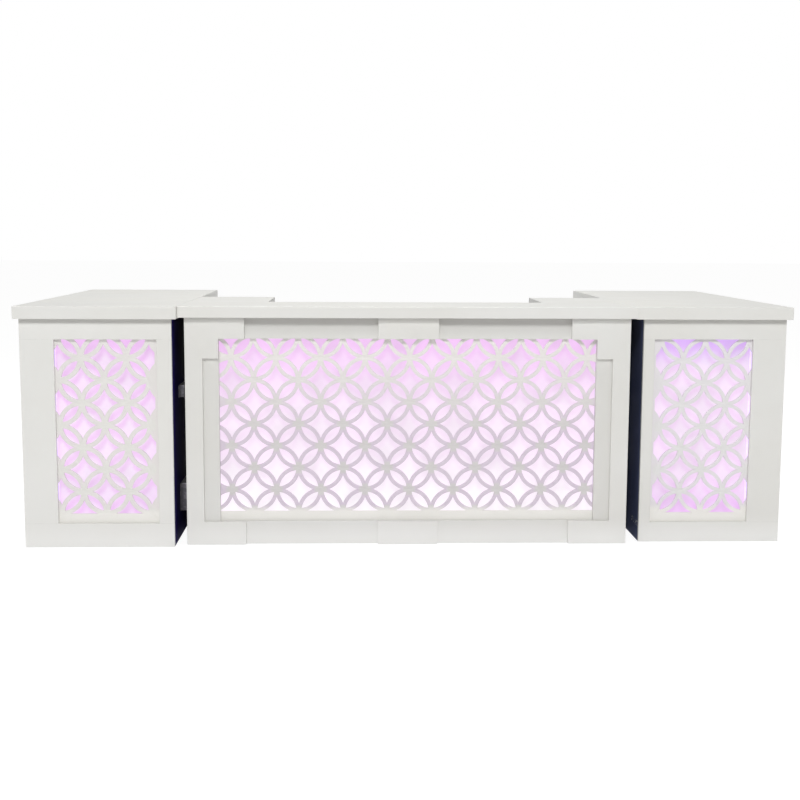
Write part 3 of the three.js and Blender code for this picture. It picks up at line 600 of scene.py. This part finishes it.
# what the fronts of the sheets reflect, beside the light they give off
sheetBody = {
    "centre": {"clear": (0.10, 0.25, 0.10, 1), "cloudy": (0.095, 0.23, 0.09, 1)},
    "left_wing": {"clear": (0.215, 0.53, 0.195, 1), "cloudy": (0.20, 0.495, 0.18, 1)},
    "right_wing": {"clear": (0.15, 0.36, 0.14, 1), "cloudy": (0.14, 0.33, 0.13, 1)},
}


def makeLitSheet(module):
    material, tree, shader = newMaterial(module + "Glow")
    glow = place(tree, lightSpread, **litSheets[module])
    coat = sprayed(tree, 250.0)
    lines = place(tree, hairlines, Amount=0.35)
    front = mixColor(tree, coat["Drift"], sheetBody[module]["clear"], sheetBody[module]["cloudy"])
    rear = mixColor(tree, coat["Drift"], whitePaint["clean"], whitePaint["warm"])
    rear = mixColor(tree, lines["Mask"], rear, whitePaint["scuff"])
    wire(tree, shader, {
        "Base Color": mixColor(tree, glow["Front"], rear, front),
        "Emission Color": glow["Color"],
        "Emission Strength": 1.0,
        "Roughness": plus(tree, times(tree, coat["Drift"], 0.15), 0.4),
    })
    bump(tree, shader, coat["Height"], 0.05, 0.0004)
    return material


# widths of the broken edges in metres, and the angles from which an edge is broken or shaded sharp
edgeWork = {
    "weld": 0.00002,
    "bevelAngle": math.radians(40),
    "smoothAngle": math.radians(32),
    "top": 0.003,
    "side": 0.001,
    "trim": 0.0025,
    "frame": 0.0013,
    "black": 0.0008,
}


def dress(node, material, softEdge=0.0, segments=2):
    piece = nodes[node]
    for slot in piece.material_slots:
        slot.material = material
    if not piece.material_slots:
        piece.data.materials.append(material)
    if softEdge:
        weld = piece.modifiers.new("weld", "WELD")
        weld.merge_threshold = edgeWork["weld"]
        bevel = piece.modifiers.new("softEdge", "BEVEL")
        bevel.width = softEdge
        bevel.segments = segments
        bevel.limit_method = "ANGLE"
        bevel.angle_limit = edgeWork["bevelAngle"]
        bevel.harden_normals = False


# boards carried over from the frame
for module in modules:
    dress(module + "_counter_top", whiteFinish, edgeWork["top"], 3)
for wing in wings:
    dress(wing + "_outer_side", whiteFinish, edgeWork["side"], 3)
underside = {module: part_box(module + "_counter_top")[0].z for module in modules}
# fronts: paint darkened per part as painted shade, and the painted shade bands under the top as (reach down,
# amount)
fronts = {
    "trim": {"shade": 0.97, "bands": [(0.016, 0.36)]},
    "centre": {"shade": 0.92, "bands": [(0.046, 0.5), (0.095, 0.25)]},
    "left_wing": {"shade": 1.0, "bands": [(0.026, 0.5)]},
    "right_wing": {"shade": 0.98, "bands": [(0.026, 0.5)]},
}


def makeFrontPaint(name, front, module, window=None):
    look = fronts[front]
    bands = [{"Top": underside[module], "Reach": reach, "Amount": amount} for reach, amount in look["bands"]]
    return makeWhitePaint(name, window, look["shade"], bands)


trimFinish = makeFrontPaint("trimPaint", "trim", "centre")
for name in ("left_trim", "right_trim", "top_block", "bottom_block"):
    dress("centre_" + name, trimFinish, edgeWork["trim"], 3)
frameLap = 0.025    # of the lattice sheet behind its frame
for module in modules:
    lo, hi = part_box(module + "_lattice_panel")
    window = {"Low": lo.z + frameLap, "High": hi.z - frameLap,
              "Left": lo.x + frameLap, "Right": hi.x - frameLap}
    paint = makeFrontPaint(module + "FramePaint", module, module, window)
    dress(module + "_front_frame", paint, edgeWork["frame"], 3)
blackBoards = [
    "centre_work_shelf", "centre_middle_shelf", "centre_floor_shelf", "centre_stretcher",
    "centre_left_end_wall", "centre_right_end_wall",
    "left_pedestal_shelf", "left_pedestal_floor", "right_pedestal_shelf", "right_pedestal_floor",
]
for wing in wings:
    blackBoards += [wing + "_" + part for part in ("floor", "lower_shelf", "upper_shelf", "divider", "back")]
for name in blackBoards:
    dress(name, blackFinish, edgeWork["black"])
for name in ("centre_left_upright", "centre_right_upright"):
    dress(name, blackFinish)
dress("left_wing_inner_side", makeBlackPaint("leftSideBlack", "leftPaintedSheen"), edgeWork["black"])
dress("right_wing_inner_side", makeBlackPaint("rightSideBlack", "rightPaintedSheen", True), edgeWork["black"])
for module in modules:
    dress(module + "_light_panel", makeLitSheet(module))
print("boards dressed")


# meshes cut from a flat sheet: outline and holes in X and Y, thickness along Z
def cutSheet(name, outline, holes, thickness, edgeRound, edgeSteps=1):
    curve = bpy.data.curves.new(name, "CURVE")
    curve.dimensions = "2D"
    curve.fill_mode = "BOTH"
    curve.extrude = thickness / 2 - edgeRound
    curve.bevel_depth = edgeRound
    curve.bevel_resolution = edgeSteps
    curve.offset = -edgeRound
    for loop in [outline] + holes:
        turn = sum(a[0] * b[1] - b[0] * a[1] for a, b in zip(loop, loop[1:] + loop[:1]))
        wanted = 1 if loop is outline else -1
        points = loop if turn * wanted > 0 else loop[::-1]
        spline = curve.splines.new("POLY")
        spline.points.add(len(points) - 1)
        for slot, (x, y) in zip(spline.points, points):
            slot.co = (x, y, 0, 1)
        spline.use_cyclic_u = True
    maker = bpy.data.objects.new(name, curve)
    scene.collection.objects.link(maker)
    bpy.context.view_layer.update()
    mesh = bpy.data.meshes.new_from_object(maker.evaluated_get(bpy.context.evaluated_depsgraph_get()))
    bpy.data.objects.remove(maker)
    bpy.data.curves.remove(curve)
    tidy = bmesh.new()
    tidy.from_mesh(mesh)
    bmesh.ops.remove_doubles(tidy, verts=tidy.verts, dist=0.00001)
    bmesh.ops.recalc_face_normals(tidy, faces=tidy.faces)
    tidy.to_mesh(mesh)
    tidy.free()
    return mesh


def addPiece(name, mesh, materials, body, replaced=None):
    for face in mesh.polygons:
        face.use_smooth = True
    mesh.set_sharp_from_angle(angle=edgeWork["smoothAngle"])
    for material in materials:
        mesh.materials.append(material)
    piece = bpy.data.objects.new(name, mesh)
    scene.collection.objects.link(piece)
    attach(piece, body)
    if replaced:
        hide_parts(replaced)


def arc(x, y, radius, start, end, steps):
    return [(x + radius * math.cos(start + (end - start) * i / steps),
             y + radius * math.sin(start + (end - start) * i / steps)) for i in range(steps)]


def circle(radius, steps):
    return arc(0, 0, radius, 0, 2 * math.pi, steps)


def clipLoop(loop, axis, limit, keepAbove):
    kept = []
    side = 1 if keepAbove else -1
    for a, b in zip(loop, loop[1:] + loop[:1]):
        depthA, depthB = side * (a[axis] - limit), side * (b[axis] - limit)
        if depthA >= 0:
            kept.append(a)
        if depthA * depthB < 0:
            share = depthA / (depthA - depthB)
            kept.append(tuple(p + (q - p) * share for p, q in zip(a, b)))
    return kept


# lattice sheets: bars along overlapping circles, with petals and diamonds cut out between them
latticeCut = {
    "pitch": 0.198,
    "sill": 0.041,
    "edgeRound": 0.0006,
    "smallest": 0.016,
    "petalSteps": 14,
    "diamondSteps": 9,
    "inset": 0.0026,     # middle of a bar inside the circle through the crossings
    "panels": {
        "centre": {"band": 0.017, "shift": 0.0, "crossing": 0.1055},
        "left_wing": {"band": 0.020, "shift": -0.012, "crossing": 0.0},
        "right_wing": {"band": 0.017, "shift": 0.012, "crossing": 0.0},
    },
}


def petalLoop(x, y, rising, band):
    pitch = latticeCut["pitch"]
    radius = (pitch - band) / 2 - latticeCut["inset"]
    reach = pitch / math.sqrt(2) / 2
    half = math.acos(reach / radius)
    across = 3 * math.pi / 4 if rising else math.pi / 4
    loop = []
    for facing in (across, across + math.pi):
        loop += arc(x - reach * math.cos(facing), y - reach * math.sin(facing), radius,
                    facing - half, facing + half, latticeCut["petalSteps"])
    return loop


def diamondLoop(x, y, band):
    half = latticeCut["pitch"] / 2
    radius = half + band / 2 - latticeCut["inset"]
    swing = math.pi / 4 - math.acos(half / radius)
    reach = half * math.sqrt(2)
    loop = []
    for quarter in range(4):
        facing = math.pi / 4 + quarter * math.pi / 2
        back = facing + math.pi
        loop += arc(x + reach * math.cos(facing), y + reach * math.sin(facing), radius,
                    back + swing, back - swing, latticeCut["diamondSteps"])
    return loop


def latticeHoles(left, right, bottom, top, middle, band):
    step = latticeCut["pitch"] / 2
    loops = []
    columns = int((right - left) / step) + 4
    for row in range(int((top - bottom) / step) + 2):
        for column in range(-columns, columns + 1):
            x, y = middle + column * step, bottom + row * step
            crossing = (row + column) % 2 == 0
            if not crossing:
                loops.append(diamondLoop(x, y, band))
            loops.append(petalLoop(x + step / 2, y + step / 2, crossing, band))
    limits = ((0, left, True), (0, right, False), (1, bottom, True), (1, top, False))
    holes = []
    for loop in loops:
        for axis, limit, keepAbove in limits:
            loop = clipLoop(loop, axis, limit, keepAbove) if loop else loop
        if len(loop) > 2:
            spanX = max(p[0] for p in loop) - min(p[0] for p in loop)
            spanY = max(p[1] for p in loop) - min(p[1] for p in loop)
            if min(spanX, spanY) > latticeCut["smallest"]:
                holes.append(loop)
    return holes


def makeLattice(module):
    node = module + "_lattice_panel"
    lo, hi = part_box(node)
    panel = latticeCut["panels"][module]
    left, right = lo.x + frameLap + panel["shift"], hi.x - frameLap + panel["shift"]
    bottom, top = lo.z + frameLap + latticeCut["sill"], hi.z - frameLap
    crossX = (left + right) / 2 + panel["crossing"]
    holes = latticeHoles(left, right, bottom, top, crossX, panel["band"])
    outline = [(lo.x, lo.z), (hi.x, lo.z), (hi.x, hi.z), (lo.x, hi.z)]
    mesh = cutSheet(node, outline, holes, hi.y - lo.y, latticeCut["edgeRound"])
    mesh.transform(Matrix.Translation((0, (lo.y + hi.y) / 2, 0)) @ Matrix.Rotation(math.pi / 2, 4, "X"))
    paint = makeLatticePaint(module, crossX, bottom, latticeCut["pitch"] / 2)
    addPiece(module + "Lattice", mesh, [paint], "bar", node)
    return len(holes)


for module in modules:
    print(module, "lattice openings:", makeLattice(module))


# small hardware is put together from a few sheets and blocks, each copied to its spots
def gather(name, parts):
    whole = bmesh.new()
    for mesh, finish, spots in parts:
        for spot in spots:
            oldVerts, oldFaces = len(whole.verts), len(whole.faces)
            whole.from_mesh(mesh)
            whole.verts.ensure_lookup_table()
            whole.faces.ensure_lookup_table()
            bmesh.ops.transform(whole, matrix=spot, verts=whole.verts[oldVerts:])
            for face in whole.faces[oldFaces:]:
                face.material_index = finish
    mesh = bpy.data.meshes.new(name)
    whole.to_mesh(mesh)
    whole.free()
    return mesh


def at(x=0.0, y=0.0, z=0.0):
    return Matrix.Translation((x, y, z))


def softBlock(name, size, edge, steps=2):
    block = bmesh.new()
    bmesh.ops.create_cube(block, size=1)
    bmesh.ops.scale(block, vec=size, verts=block.verts)
    bmesh.ops.bevel(block, geom=block.edges, offset=edge, segments=steps, profile=0.5, affect="EDGES")
    mesh = bpy.data.meshes.new(name)
    block.to_mesh(mesh)
    block.free()
    return mesh


def roundedLoop(width, height, radius, steps=6):
    loop = []
    for quarter, (sx, sy) in enumerate(((1, 1), (-1, 1), (-1, -1), (1, -1))):
        x, y = sx * (width / 2 - radius), sy * (height / 2 - radius)
        start = quarter * math.pi / 2
        end = start + math.pi / 2
        loop += arc(x, y, radius, start, end, steps)
        loop.append((x + radius * math.cos(end), y + radius * math.sin(end)))
    return loop


def moved(loop, x, y):
    return [(p[0] + x, p[1] + y) for p in loop]


def crossLoop(reach, width):
    w = width / 2
    return [(w, reach), (-w, reach), (-w, w), (-reach, w), (-reach, -w), (-w, -w),
            (-w, -reach), (w, -reach), (w, -w), (reach, -w), (reach, w), (w, w)]


def screwHead(radius, height):
    # a pan head with a cross recess, standing on Z = 0
    rim = circle(radius, 28)
    cap = cutSheet("screwCap", rim, [crossLoop(radius * 0.6, radius * 0.26)], height * 0.75, height * 0.3, 3)
    pad = cutSheet("screwPad", rim, [], height * 0.3, height * 0.02)
    return gather("screwHead", [(cap, 0, [at(z=height * 0.625)]), (pad, 0, [at(z=height * 0.15)])])


# axes of what is fixed to a board: across, along and out of its face
faceAxes = {
    "toRight": ((0, 1, 0), (0, 0, 1), (1, 0, 0)),
    "toLeft": ((0, -1, 0), (0, 0, 1), (-1, 0, 0)),
    "toRear": ((0, 0, 1), (1, 0, 0), (0, 1, 0)),
}


def nodeFrame(node, facing, depth):
    # axes on the middle of a node's box, this far behind its outermost face
    lo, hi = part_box(node)
    across, along, out = [Vector(axis) for axis in faceAxes[facing]]
    reach = abs((hi - lo).dot(out)) / 2
    axes = Matrix((across, along, out)).transposed().to_4x4()
    return Matrix.Translation((lo + hi) / 2 + out * (reach - depth)) @ axes


# metal and plastic of the light supply
hardware = {
    "zinc": (0.29, 0.28, 0.31, 1),
    "zincDull": (0.19, 0.185, 0.21, 1),
    "steel": (0.55, 0.55, 0.56, 1),
    "plastic": (0.012, 0.012, 0.013, 1),
    "plasticWorn": (0.030, 0.030, 0.031, 1),
    "mark": (0.75, 0.75, 0.73, 1),
    "tape": (0.82, 0.82, 0.80, 1),
    "sleeve": (0.62, 0.55, 1.0, 1),
    "sleeveDim": (0.42, 0.32, 0.88, 1),
}


def makeZinc():
    # spangled zinc sheet
    material, tree, shader = newMaterial("zincSheet")
    rub = place(tree, edgeRub, Width=0.002, Amount=0.8)
    lines = place(tree, hairlines, Amount=0.6)
    dust = place(tree, dustFilm, Amount=0.5)
    cells = tree.nodes.new("ShaderNodeTexVoronoi")
    wire(tree, cells, {"Scale": 70.0, "Vector": objectPoint(tree)})
    spangle = ramp(tree, cells.outputs["Color"], 0.2, 0.9)
    color = mixColor(tree, spangle, hardware["zincDull"], hardware["zinc"])
    color = mixColor(tree, rub["Mask"], color, hardware["steel"])
    color = mixColor(tree, dust["Mask"], color, whitePaint["dust"])
    wire(tree, shader, {
        "Base Color": color,
        "Metallic": 0.75,
        "Roughness": ramp(tree, spangle, 0.0, 1.0, 0.52, 0.38),
    })
    bump(tree, shader, lines["Height"], 0.06, 0.0004)
    return material


def makeScrewSteel():
    material, tree, shader = newMaterial("screwSteel")
    rub = place(tree, edgeRub, Width=0.0006, Amount=0.9)
    coat = sprayed(tree, 900.0, 40.0)
    color = mixColor(tree, coat["Drift"], hardware["zincDull"], hardware["zinc"])
    wire(tree, shader, {
        "Base Color": mixColor(tree, rub["Mask"], color, hardware["steel"]),
        "Metallic": 1.0,
        "Roughness": ramp(tree, coat["Drift"], 0.0, 1.0, 0.28, 0.42),
    })
    return material


def makeMouldedBlack():
    material, tree, shader = newMaterial("mouldedBlack")
    rub = place(tree, edgeRub, Width=0.0008, Amount=0.7)
    coat = sprayed(tree, 1500.0, 30.0)
    dust = place(tree, dustFilm, Amount=0.3)
    worn = math2(tree, "MAXIMUM", rub["Mask"], times(tree, coat["Drift"], 0.4))
    color = mixColor(tree, worn, hardware["plastic"], hardware["plasticWorn"])
    wire(tree, shader, {
        "Base Color": mixColor(tree, dust["Mask"], color, blackPaint["dust"]),
        "Roughness": ramp(tree, coat["Drift"], 0.0, 1.0, 0.38, 0.5),
    })
    bump(tree, shader, coat["Height"], 0.25, 0.0002)
    return material


def makePlain(name, base, tint, peel, drift, rough):
    material, tree, shader = newMaterial(name)
    coat = sprayed(tree, peel, drift)
    wire(tree, shader, {"Base Color": mixColor(tree, coat["Drift"], base, tint), "Roughness": rough})
    return material


def makeSleeveGlow():
    # milky sleeve, brighter over each lamp inside
    material, tree, shader = newMaterial("sleeveGlow")
    cells = tree.nodes.new("ShaderNodeTexVoronoi")
    wire(tree, cells, {"Scale": 30.0, "Randomness": 0.0, "Vector": objectPoint(tree)})
    lit = ramp(tree, cells.outputs["Distance"], 0.15, 0.75, 1.0, 0.0)
    wire(tree, shader, {
        "Base Color": hardware["tape"],
        "Emission Color": mixColor(tree, lit, hardware["sleeveDim"], hardware["sleeve"]),
        "Emission Strength": 1.0,
        "Roughness": 0.35,
    })
    return material


zincSheet = makeZinc()
screwSteel = makeScrewSteel()
mouldedBlack = makeMouldedBlack()
markPaint = makePlain("markPaint", hardware["mark"], whitePaint["dust"], 900.0, 300.0, 0.5)
tapeBase = makePlain("tapeBase", hardware["tape"], whitePaint["warm"], 300.0, 25.0, 0.45)
sleeveGlow = makeSleeveGlow()
print("hardware finishes made")


# lamp tape round each window: four lengths in a milky sleeve with end caps, stuck to the sheet behind
tape = {"width": 0.010, "cap": 0.006, "corner": 0.0016, "cornerSteps": 4, "round": 0.0011, "seam": 0.0004}


def makeTape(module):
    node = module + "_led_strip"
    lo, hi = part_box(node)
    width, cap, corner, steps = tape["width"], tape["cap"], tape["corner"], tape["cornerSteps"]
    wide, thick, tall = hi - lo
    capMesh = cutSheet("cap", roundedLoop(cap, width, corner, steps), [], thick, tape["round"], 3)
    middle = at(*(lo + hi) / 2) @ Matrix.Rotation(math.pi / 2, 4, "X")
    quarter = Matrix.Rotation(math.pi / 2, 4, "Z")
    parts = []
    for run, turn, reach in ((wide, Matrix(), tall / 2), (tall - 2 * width, quarter, wide / 2)):
        loop = roundedLoop(run - 2 * (cap + tape["seam"]), width, corner, steps)
        sleeve = cutSheet("sleeve", loop, [], thick, tape["round"], 3)
        for side in (-1, 1):
            spot = middle @ turn @ at(y=side * (reach - width / 2))
            parts.append((sleeve, 0, [spot]))
            parts.append((capMesh, 1, [spot @ at((run - cap) / 2), spot @ at((cap - run) / 2)]))
    addPiece(module + "LampTape", gather(node, parts), [sleeveGlow, tapeBase], "bar", node)


for module in modules:
    makeTape(module)
print("lamp tapes:", len(modules))


# driver and controller cases: screw plate, folded lid with slots, lid screws, rubber bush, lens
supplyCase = {
    "plate": 0.002,
    "plateEdge": 0.0003,
    "ear": 0.014,
    "earHole": 0.003,
    "earScrew": (0.0042, 0.0022),   # head radius and height
    "wall": 0.0012,
    "wallEdge": 0.0001,
    "wallDrop": 0.0004,
    "lidEdge": 0.0004,
    "lidScrew": (0.0032, 0.0014),
    "lidScrewInset": 0.009,
    "slotPitch": 0.008,
    "slotWidth": 0.003,
    "slotGroup": 6,
    "corner": 0.003,
    "bush": 0.007,
    "lens": 0.004,
    "shares": {"slotTall": 0.34, "slotRow": 0.23, "slotStart": 0.02, "bush": -0.3, "lens": 0.42},
    "kinds": {"led_driver": (0.187, 0.128, 0.034), "led_controller": (0.172, 0.056, 0.026)},
    "faces": {"centre": "toLeft", "left_wing": "toRight", "right_wing": "toLeft"},
}


def makeSupply(module, kind):
    node = module + "_" + kind
    case, shares = supplyCase, supplyCase["shares"]
    length, height, depth = case["kinds"][kind]
    wall, plateThick, corner, bush = case["wall"], case["plate"], case["corner"], case["bush"]
    earX = (length + case["ear"]) / 2
    earHole = circle(case["earHole"], 20)
    plate = cutSheet("plate", roundedLoop(length + 2 * case["ear"], height, corner),
                     [moved(earHole, earX, 0), moved(earHole, -earX, 0)], plateThick, case["plateEdge"])
    outer = roundedLoop(length, height, corner)
    inner = roundedLoop(length - 2 * wall, height - 2 * wall, corner - wall)
    sides = cutSheet("sides", outer, [inner], depth - plateThick - wall, case["wallEdge"])
    slotWidth = case["slotWidth"]
    slot = roundedLoop(slotWidth, height * shares["slotTall"], slotWidth * 0.49, 4)
    slots = []
    for i in range(case["slotGroup"]):
        x = length * shares["slotStart"] + i * case["slotPitch"]
        slots += [moved(slot, x, row * height * shares["slotRow"]) for row in (-1, 1)]
    bushX = length * shares["bush"]
    lid = cutSheet("lid", outer, slots + [moved(circle(bush, 28), bushX, 0)], wall, case["lidEdge"], 2)
    blockDepth = depth - plateThick - 4 * wall
    block = softBlock("inside", (length - 4 * wall, height - 4 * wall, blockDepth), 0.001)
    bushRing = cutSheet("bush", circle(bush * 0.98, 28), [circle(bush * 0.5, 24)], wall * 1.6, wall * 0.4, 3)
    lens = softBlock("lens", (case["lens"], case["lens"], wall), wall * 0.3)
    top = depth - case["lidScrew"][1]
    cornerX, cornerY = length / 2 - case["lidScrewInset"], height / 2 - case["lidScrewInset"]
    lidSpots = [at(x, y, top) for x in (-cornerX, cornerX) for y in (-cornerY, cornerY)]
    mesh = gather(node, [
        (plate, 0, [at(z=plateThick / 2)]),
        (sides, 0, [at(z=(depth + plateThick - wall) / 2 - case["wallDrop"])]),
        (lid, 0, [at(z=top - wall / 2)]),
        (block, 1, [at(z=plateThick + blockDepth / 2)]),
        (bushRing, 1, [at(bushX, 0, top - wall * 0.7)]),
        (lens, 2, [at(length * shares["lens"], 0, top)]),
        (screwHead(*case["lidScrew"]), 3, lidSpots),
        (screwHead(*case["earScrew"]), 3, [at(-earX, 0, plateThick), at(earX, 0, plateThick)]),
    ])
    mesh.transform(nodeFrame(node, case["faces"][module], depth))
    finishes = [zincSheet, mouldedBlack, markPaint, screwSteel]
    addPiece(module + kind.replace("led_", "_") + "Case", mesh, finishes, "bar", node)


supplies = [("centre", "led_driver")]
supplies += [(wing, kind) for wing in wings for kind in supplyCase["kinds"]]
for module, kind in supplies:
    makeSupply(module, kind)
print("light supplies:", len(supplies))


# power inlets with their rocker switches; X across, Y along, Z out of the plate
inlet = {
    "plate": (0.044, 0.084, 0.003),
    "plateCorner": 0.004,
    "body": (0.032, 0.068),
    "bodyCorner": 0.001,
    "outerEdge": 0.0005,
    "sleeveEdge": 0.0001,
    "bodyDepth": 0.026,
    "recessDepth": 0.015,     # behind the plate
    "pitch": 0.015,
    "plug": (0.024, 0.017),
    "plugCorner": 0.004,
    "pin": (0.002, 0.004, 0.014),
    "pinPitch": 0.007,
    "earthRise": 0.004,
    "pinEdge": 0.0004,
    "screw": (0.0024, 0.0016),      # head radius and height
    "screwHole": 0.0026,
    "screwSink": 0.0019,
    "screwReach": 0.038,
    "faces": {"centre": "toRear", "left_wing": "toRight", "right_wing": "toLeft"},
    "switchBody": {"centre": "centre_switch", "left_wing": "left_switch", "right_wing": "right_switch"},
}
rockerForm = {
    "radius": 0.011,
    "width": 0.013,
    "tilt": math.radians(10),
    "edge": 0.0005,
    "room": 0.0003,
    "roomCorner": 0.0004,
    "pin": 0.0015,
    "pinLength": 0.0015,
    "pinEdge": 0.0002,
    "ring": (0.0024, 0.0017),
    "stroke": (0.0008, 0.0048),
    "markThick": 0.0002,
    "markReach": 0.0065,
    "markLift": 0.00005,
}


def plugLoop():
    # two cut corners on the side away from the switch
    w, h, cut = inlet["plug"][0] / 2, inlet["plug"][1] / 2, inlet["plugCorner"]
    return [(w, h - cut), (w - cut, h), (cut - w, h), (-w, h - cut), (-w, -h), (w, -h)]


def makeInlet(module):
    node = module + "_power_inlet"
    width, length, thick = inlet["plate"]
    pitch, sunk, reach = inlet["pitch"], inlet["recessDepth"], inlet["screwReach"]
    roomX = rockerForm["width"] + 2 * rockerForm["room"]
    roomY = 2 * (rockerForm["radius"] + rockerForm["room"])
    mouth = moved(roundedLoop(roomX, roomY, rockerForm["roomCorner"], 2), 0, pitch)
    recess = moved(plugLoop(), 0, -pitch)
    screwHole = circle(inlet["screwHole"], 20)
    holes = [mouth, recess, moved(screwHole, 0, reach), moved(screwHole, 0, -reach)]
    faceLoop = roundedLoop(width, length, inlet["plateCorner"])
    face = cutSheet("face", faceLoop, holes, thick, inlet["outerEdge"], 3)
    bodyLoop = roundedLoop(*inlet["body"], inlet["bodyCorner"], 3)
    sleeve = cutSheet("sleeve", bodyLoop, [mouth, recess], sunk, inlet["sleeveEdge"])
    rest = inlet["bodyDepth"] - sunk
    back = cutSheet("back", bodyLoop, [], rest, inlet["outerEdge"], 2)
    pin = softBlock("pin", inlet["pin"], inlet["pinEdge"])
    pinZ = inlet["pin"][2] / 2 - sunk
    pins = []
    for i in (-1, 0, 1):
        rise = 0 if i else inlet["earthRise"]
        pins.append(at(i * inlet["pinPitch"], rise - pitch, pinZ))
    headZ = thick - inlet["screwSink"]
    mesh = gather(node, [
        (face, 0, [at(z=thick / 2)]),
        (sleeve, 0, [at(z=-sunk / 2)]),
        (back, 0, [at(z=-sunk - rest / 2)]),
        (pin, 1, pins),
        (screwHead(*inlet["screw"]), 1, [at(0, reach, headZ), at(0, -reach, headZ)]),
    ])
    mesh.transform(nodeFrame(node, inlet["faces"][module], thick))
    addPiece(module + "Inlet", mesh, [mouldedBlack, screwSteel], "bar", node)


def makeRocker(module):
    radius, width, tilt = rockerForm["radius"], rockerForm["width"], rockerForm["tilt"]
    profile = [(0, 0)] + arc(0, 0, radius, math.pi - tilt, 2 * math.pi + tilt, 40)
    profile.append((radius * math.cos(tilt), radius * math.sin(tilt)))
    paddle = cutSheet("paddle", profile, [], width, rockerForm["edge"], 3)
    pinLoop = circle(rockerForm["pin"], 20)
    stub = cutSheet("stub", pinLoop, [], width + 2 * rockerForm["pinLength"], rockerForm["pinEdge"])
    acrossX = Matrix(((0, 0, 1, 0), (1, 0, 0, 0), (0, 1, 0, 0), (0, 0, 0, 1)))
    rim, hole = [circle(size, 24) for size in rockerForm["ring"]]
    thick, lift, outward = rockerForm["markThick"], rockerForm["markLift"], rockerForm["markReach"]
    ring = cutSheet("ring", rim, [hole], thick, 0.00004)
    stroke = softBlock("stroke", (*rockerForm["stroke"], thick), 0.00005, 1)
    raised = Matrix.Rotation(tilt, 4, "X") @ at(0, outward, lift)
    sunk = Matrix.Rotation(-tilt, 4, "X") @ at(0, -outward, lift)
    mesh = gather(module, [
        (paddle, 0, [acrossX]),
        (stub, 0, [acrossX]),
        (ring, 1, [raised]),
        (stroke, 1, [sunk]),
    ])
    frameAt = nodeFrame(module + "_power_inlet", inlet["faces"][module], inlet["plate"][2])
    mesh.transform(frameAt @ at(0, inlet["pitch"], 0) @ Matrix.Rotation(tilt, 4, "X"))
    body, node = inlet["switchBody"][module], module + "_power_switch"
    addPiece(module + "Rocker", mesh, [mouldedBlack, markPaint], body, node)


for module in modules:
    makeInlet(module)
    makeRocker(module)
print("power inlets:", len(modules))


# screws through the black boards: rows of heads on the faces toward the bartender
sideHeights = [0.06, 0.27, 0.50, 0.73, 0.985]
uprightDepths, uprightHeights = [-0.66, -0.48, -0.40], [0.099, 0.459]
boardScrews = {
    "radius": 0.004,
    "height": 0.0009,
    "rows": [
        ("left_wing_inner_side", 1, [0.1185, 0.7755], sideHeights),
        ("right_wing_inner_side", -1, [0.1895, 0.8465], sideHeights),
        ("centre_left_upright", -1, uprightDepths, uprightHeights),
        ("centre_right_upright", 1, uprightDepths, uprightHeights),
    ],
}


def makeBoardScrews(board, side, alongY, upZ):
    lo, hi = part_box(board)
    face = hi.x if side > 0 else lo.x
    axes = Matrix(((0, 0, side, 0), (side, 0, 0, 0), (0, 1, 0, 0), (0, 0, 0, 1)))
    head = screwHead(boardScrews["radius"], boardScrews["height"])
    spots = [at(face, y, z) @ axes for y in alongY for z in upZ]
    addPiece(board + "Screws", gather(board, [(head, 0, spots)]), [screwSteel], "bar")


for row in boardScrews["rows"]:
    makeBoardScrews(*row)
print("screw rows:", len(boardScrews["rows"]))
